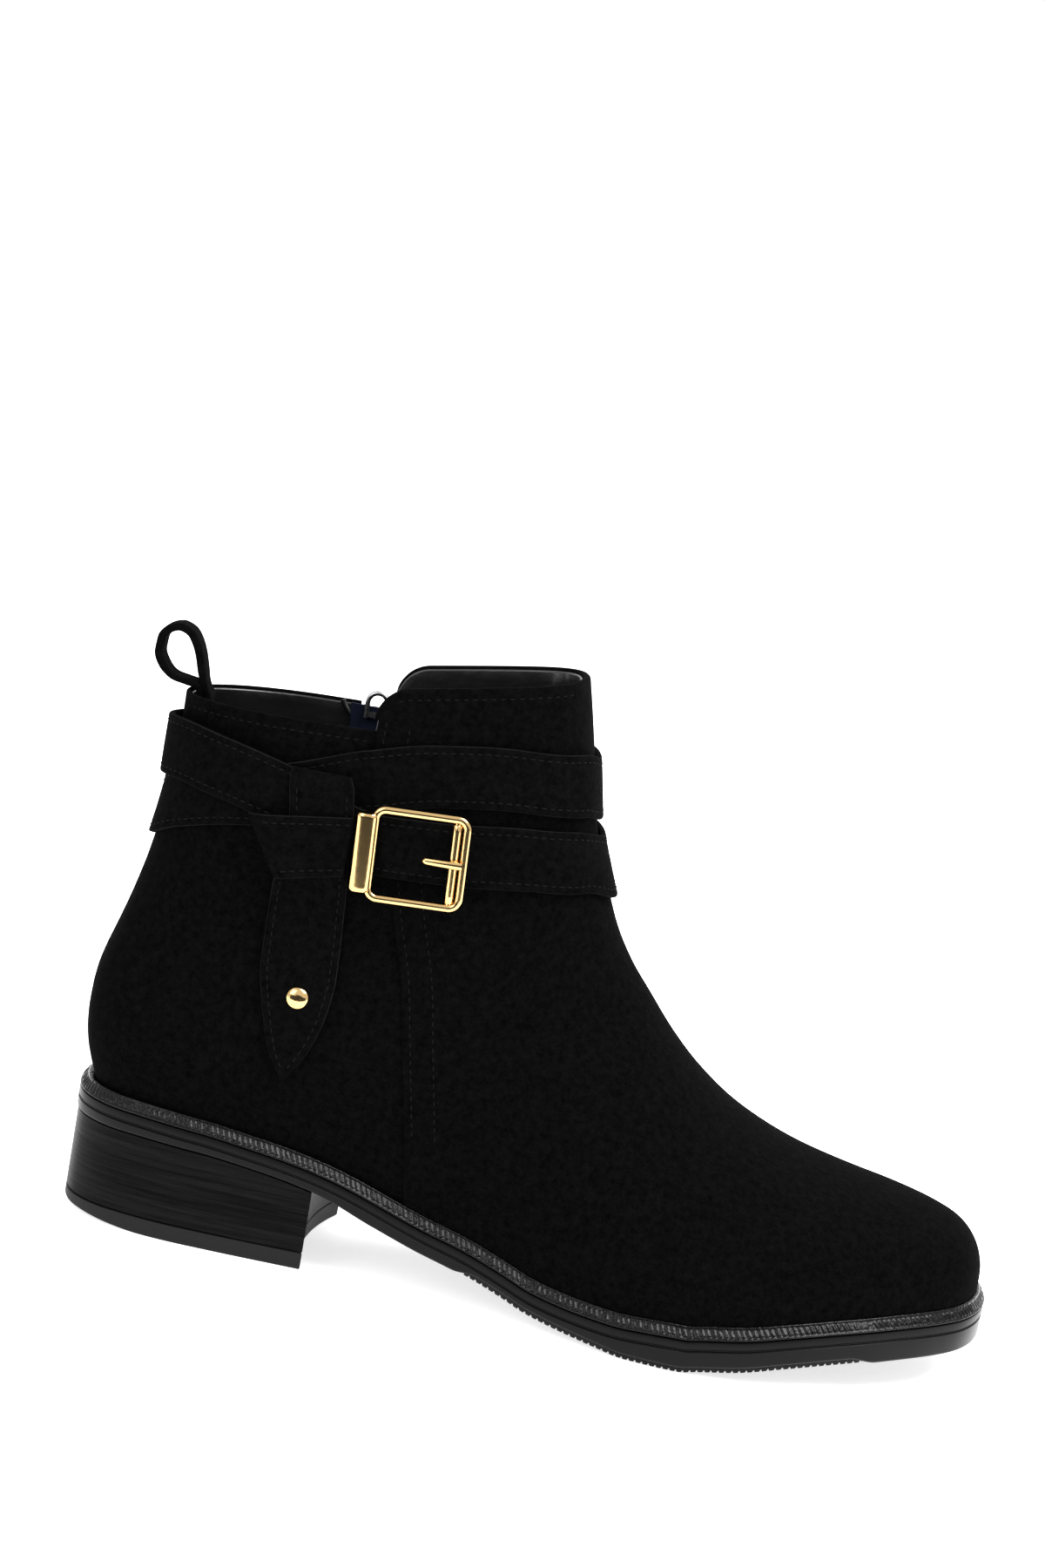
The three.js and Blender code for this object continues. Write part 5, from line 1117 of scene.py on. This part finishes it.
def heel_piece(name, levels, mat, nodes, deep=72, wide=36):
    """A heel piece from levels of (level, height, inset), lowest first."""
    u, v = np.meshgrid(np.linspace(0, 1, deep), np.linspace(-1, 1, wide), indexing="ij")
    middle, half_run, half_span = HEEL_X + HEEL_DEPTH / 2, 36, 28
    sheets = []
    for level, height, inset in levels:
        x, y = heel_point(u, v, level)
        x = middle + (x - middle) * (1 - inset / half_run)
        sheets.append(line_of(x, y * (1 - inset / half_span), height(x) if callable(height) else height))
    edge = ([(i, 0) for i in range(deep)] + [(deep - 1, j) for j in range(1, wide)]
            + [(i, wide - 1) for i in range(deep - 2, 0, -1)])
    rings = np.array([[sheet[i, j] for i, j in edge] for sheet in sheets])
    cap = grid_faces(deep, wide)
    form = joined([(rings, grid_faces(*rings.shape[:2], wrap_columns=True)), (sheets[0], cap[:, ::-1]),
                   (sheets[-1], cap)])
    solid(name, form, mat, nodes, "heel", 38)


def stack_base(x):
    return base(x) - 0.3


build_welt()
# The outsole's edge with its groove: inset from the welt's width, height line, height over it
OUTSOLE_EDGE = [
    (0.8, base, 0), (0.45, base, 0.12), (0.15, base, 0.4), (0, base, 0.8), (0, sole_top, -3.2),
    (0.2, sole_top, -3.05), (0.5, sole_top, -2.8), (0.5, sole_top, -2.6), (0.2, sole_top, -2.35),
    (0, sole_top, -2.2), (0, sole_top, -0.4), (0.1, sole_top, -0.12), (0.4, sole_top, 0),
]
outsole_rows = [(WELT_OUT - inset, height, over) for inset, height, over in OUTSOLE_EDGE]
plan_solid("outsole_edge", 720, outsole_rows, sole_finish, ["outsole"], "sole", 35)
build_tread()
STACK_FOOT = TOP_LIFT + 0.55
heel_piece("heel_block", [
    (LIFT_LEVEL, TOP_LIFT + 0.3, 0.25), (LIFT_LEVEL, STACK_FOOT, 0),
    *[(mix(LIFT_LEVEL, 1, t), lambda x, t=t: mix(STACK_FOOT, stack_base(x), t), 0)
      for t in (0.25, 0.5, 0.75)],
    (1, stack_base, 0),
], heel_finish, ["heel_stack"])
heel_piece("heel_lift", [
    (0, heel_floor, 0.5), (0, lambda x: heel_floor(x) + 0.15, 0.2), (0, lambda x: heel_floor(x) + 0.5, 0),
    (LIFT_LEVEL, TOP_LIFT - 0.2, 0), (LIFT_LEVEL, TOP_LIFT, 0.25),
], tread_finish, ["top_lift"])
FOOTBED_EDGE = -WELT_IN - 0.6
plan_solid("footbed_sheet", 400, [
    (FOOTBED_EDGE, sole_top, 0.3), (FOOTBED_EDGE, feather, INSOLE_RISE - 0.9),
    (FOOTBED_EDGE - 0.3, feather, INSOLE_RISE - 0.3), (FOOTBED_EDGE - 1, feather, INSOLE_RISE),
], footbed, ["insole"], "lining", 40)

# Zip on the inner side: tape, the lining's seam beside it, teeth and their cords
TAPE_SHOWN, TAPE_THICK, CHAIN_PITCH, CHAIN_LIFT, CORD_AT = 13, 0.8, 1.45, -1.1, 2.75
TAPE_FRONT = -WALL - 0.6
TAPE_BACK = TAPE_FRONT - TAPE_THICK
tape_z = np.linspace(ZIP_BOTTOM - 3, zip_top_z - 0.8, 90)[:, None]
tape_x = zip_x(tape_z) + np.linspace(-TAPE_SHOWN / 2, TAPE_SHOWN / 2, 13)
tape_form = loft(np.concatenate([side_point(tape_x, tape_z, 1, TAPE_FRONT),
                                 side_point(tape_x, tape_z, 1, TAPE_BACK)[:, ::-1]], 1))
solid("zip_tape_web", tape_form, tape_finish, ["zip_tape"], "tape", 50)
hem_z = np.linspace(zip_top_z - 0.6, ZIP_BOTTOM, 90)
hem_x = zip_x(hem_z) - 3.6 - 5.6 * ease((hem_z - zip_top_z + 9) / 9)
hem = sweep(side_point(hem_x, hem_z, 1, -WALL - 0.5), outward(hem_x, hem_z, 1), 1.6, 1.3, 0.8, 12)
solid("lining_seam", hem, lining, (), "lining", 50)
tooth_levels = [(0.15, -0.65), (0, -0.35), (0, 0.35), (0.15, 0.65)]
tooth, tooth_faces = slab(rounded_path(2.9, 0.95, 0.3, 3, 3), tooth_levels)
parts = []
for z in np.arange(ZIP_BOTTOM + 0.8, zip_top_z - 9.5, CHAIN_PITCH):
    for hand, height in ((1, z), (-1, z + CHAIN_PITCH / 2)):
        matrix = face_frame(float(zip_x(height)), height, 1, CHAIN_LIFT)
        parts.append((placed(tooth + [hand * 0.95, 0, 0], matrix), tooth_faces))
cord_z = np.linspace(ZIP_BOTTOM + 0.5, zip_top_z - 1, 70)
for hand in (-1, 1):
    line = side_point(zip_x(cord_z) + hand * CORD_AT, cord_z, 1, CHAIN_LIFT)
    parts.append(sweep(line, outward(zip_x(cord_z), cord_z, 1), 1.5, 1.2, 0.9, 10))
solid("zip_teeth", joined(parts), gunmetal, ["zip_chain"], "chain")

# Slider with its axle, lugs, the arch over the collar and the post between, then the pull
AXLE, SLIDER_LENGTH, SLIDER_WIDTH, SLIDER_THICK, LUG_AT = 0.7, 9, 7, 3.2, 2.3
PULL_LENGTH, PULL_WIDTH, PULL_THICK, NECK, HOLE, EYE_RADIUS = 24, 5, 1.3, 6, 1.1, 1.3
slider_z = zip_top_z - 1.5 - SLIDER_LENGTH / 2
slider_matrix = face_frame(float(zip_x(slider_z)), slider_z, 1, 0)
slider_matrix[:3, 3] -= slider_matrix[:3, 2] * 0.2
hinge_up, hinge_out = SLIDER_LENGTH * 0.22, SLIDER_THICK + AXLE + 0.9
slider = slab(rounded_path(SLIDER_WIDTH - 0.3, SLIDER_LENGTH, 2.4, 9, 4), [
    (0.1, 0), (0, 0.4), (0, SLIDER_THICK - 0.7), (0.05, SLIDER_THICK - 0.25), (0.16, SLIDER_THICK)])
axle = sweep(line_of(np.linspace(-LUG_AT, LUG_AT, 6), hinge_up, hinge_out), FACING, 2 * AXLE, 2 * AXLE, 1, 16)
lug_z = np.linspace(SLIDER_THICK - 0.3, SLIDER_THICK + AXLE * 2 + 1.4, 12)
lug_w = np.array([1] * 8 + [0.98, 0.9, 0.75, 0.45])
lugs = [sweep(line_of(x, hinge_up, lug_z), (0, 1, 0), 0.9 * lug_w, 2.4 * lug_w, 0.6, 16)
        for x in (-LUG_AT, LUG_AT)]
ARCH_RADIUS, ARCH_SHIFT, ARCH_TOP = 2.9, -0.7, 6.7
arch = np.linspace(0, np.pi, 24)
arch_x = np.concatenate([[ARCH_RADIUS] * 3, ARCH_RADIUS * np.cos(arch), [-ARCH_RADIUS] * 3]) + ARCH_SHIFT
arch_y = np.concatenate([[2, 3.6, 5.2], ARCH_TOP + ARCH_RADIUS * np.sin(arch), [5.2, 3.6, 2]])
crown = sweep(line_of(arch_x, arch_y, TAPE_BACK - 1.1), FACING, 1.5, 1.8, 0.8, 14)
post = sweep(line_of(ARCH_SHIFT, 3, np.linspace(TAPE_BACK - 1, 0.8, 6)), (0, 1, 0), 5.4, 1.8, 0.6, 14)
metal_piece("slider_body", [slider, axle, crown, post, *lugs], slider_matrix, chrome, ["zip_slider"], "chain",
            45)
tab_outline = rounded_path(PULL_WIDTH, PULL_LENGTH - NECK, PULL_WIDTH / 2 - 0.2, 9, 8)
tab_centre = 1 - NECK - (PULL_LENGTH - NECK) / 2
hole_at = 3.4 - PULL_LENGTH - tab_centre
hole_angle = np.arctan2(tab_outline[:, 1] - hole_at, tab_outline[:, 0])
hole = line_of(HOLE * np.cos(hole_angle), HOLE * np.sin(hole_angle) + hole_at)
plate, plate_faces = slab(tab_outline, [(0.05, -0.65), (0, -0.4), (0, 0.4), (0.05, 0.65)], hole)
eye_turn = np.arange(32) * math.pi / 16
eye_line = line_of(0, hinge_up + EYE_RADIUS * np.cos(eye_turn), hinge_out + EYE_RADIUS * np.sin(eye_turn))
eye = sweep(eye_line, (1, 0, 0), 0.6, 3.0, 0.5, 16, True)
neck_line = line_of(0, np.linspace(hinge_up - 1.2, hinge_up - 7.2, 12), hinge_out)
neck = sweep(neck_line, FACING, 3, PULL_THICK, 0.5, 16)
plate = plate + [0, hinge_up + tab_centre, hinge_out]
metal_piece("pull_plate", [(plate, plate_faces), eye, neck], slider_matrix, chrome, ["zip_pull"], "chain", 45,
            "pull_tab")


# Topstitching on the panels, set out in the side view
def surface_line(x, z, hand, lift):
    """Places on a pressed panel, each with its outward direction."""
    normal = unit(side_point(x, z, hand, 1.0) - side_point(x, z, hand, 0.01))
    flat = face_point(x, z, hand)
    return flat + normal * (lift + crease_lift(flat, hand))[..., None], normal


ON_VAMP, ON_QUARTER, COLLAR_INSET, ZIP_INSET = PANEL - 0.1, -0.1, 3.2, 2.2
lines = []
for inset, below in ((2.4, 0.5), (9, 1.5)):
    z = np.linspace(46, ARC_Z - below, 400)
    lines.append(surface_line(seam_x(z) + inset, z, -1, ON_VAMP))
x = np.linspace(float(back_x(back_top)) + 4, NOTCH_X - 1.5, 240)
lines.append(surface_line(x, rear_collar(x) - COLLAR_INSET, -1, ON_QUARTER))
x = np.linspace(NOTCH_X + 4.2, float(collar_front[0]) - 2.5, 260)
lines += [surface_line(x, vamp_collar(x) - COLLAR_INSET, hand, ON_VAMP) for hand in (-1, 1)]
for hand, foot, lift in ((1, 44, ON_VAMP), (-1, ZIP_BOTTOM, ON_QUARTER)):
    z = np.linspace(foot, zip_top_z - 3, 400)
    lines.append(surface_line(zip_x(z) + hand * (ZIP_SLOT / 2 + ZIP_INSET), z, 1, lift))
stitches("upper_stitches", lines)

# Floor, background and lights, as in a plain studio
floor_mat = finish_of("floor", (0.85, 0.85, 0.85), 0.7)
shader_of(floor_mat).inputs["Emission Color"].default_value = (1, 1, 1, 1)
shader_of(floor_mat).inputs["Emission Strength"].default_value = 0.7
FAR = 9000
corners = [(-FAR, -FAR, 0), (FAR, -FAR, 0), (FAR, FAR, 0), (-FAR, FAR, 0)]
floor = new_object("floor", corners, [(0, 1, 2, 3)], floor_mat)
world = bpy.data.worlds.new("studio")
bpy.context.scene.world = world
world.use_nodes = True
world.node_tree.nodes["Background"].inputs["Color"].default_value = (1, 1, 1, 1)
world.node_tree.nodes["Background"].inputs["Strength"].default_value = 1.05

# Dark cards that only reflections see: name, y, then the ends in x and z
CARDS = [("card_middle", -1500, -280, 500, 20, 520), ("card_low", -430, -350, 520, 5, 170)]
card_mat = finish_of("dark_card", (0.012, 0.012, 0.012), 0.9)
for name, y, x0, x1, z0, z1 in CARDS:
    card = new_object(name, [(x0, y, z0), (x1, y, z0), (x1, y, z1), (x0, y, z1)], [(0, 1, 2, 3)], card_mat)
    card.visible_camera = card.visible_diffuse = card.visible_shadow = card.visible_transmission = False


def lamp(name, place, target, size, power):
    data = bpy.data.lights.new(name, "AREA")
    data.shape = "RECTANGLE"
    data.size, data.size_y = size
    data.energy = power
    obj = bpy.data.objects.new(name, data)
    obj.location = place
    obj.rotation_euler = (Vector(target) - Vector(place)).to_track_quat("-Z", "Y").to_euler()
    bpy.context.scene.collection.objects.link(obj)


lamp("key", (0.7, -0.35, 1.3), (0.16, 0, 0.06), (0.9, 0.9), 34)
lamp("fill", (-0.7, -0.9, 0.8), (0.08, 0, 0.06), (0.8, 0.8), 6)
lamp("rim", (0.3, 1.0, 1.0), (0.08, 0, 0.08), (0.9, 0.6), 12)
bpy.context.scene.view_settings.view_transform = "Standard"
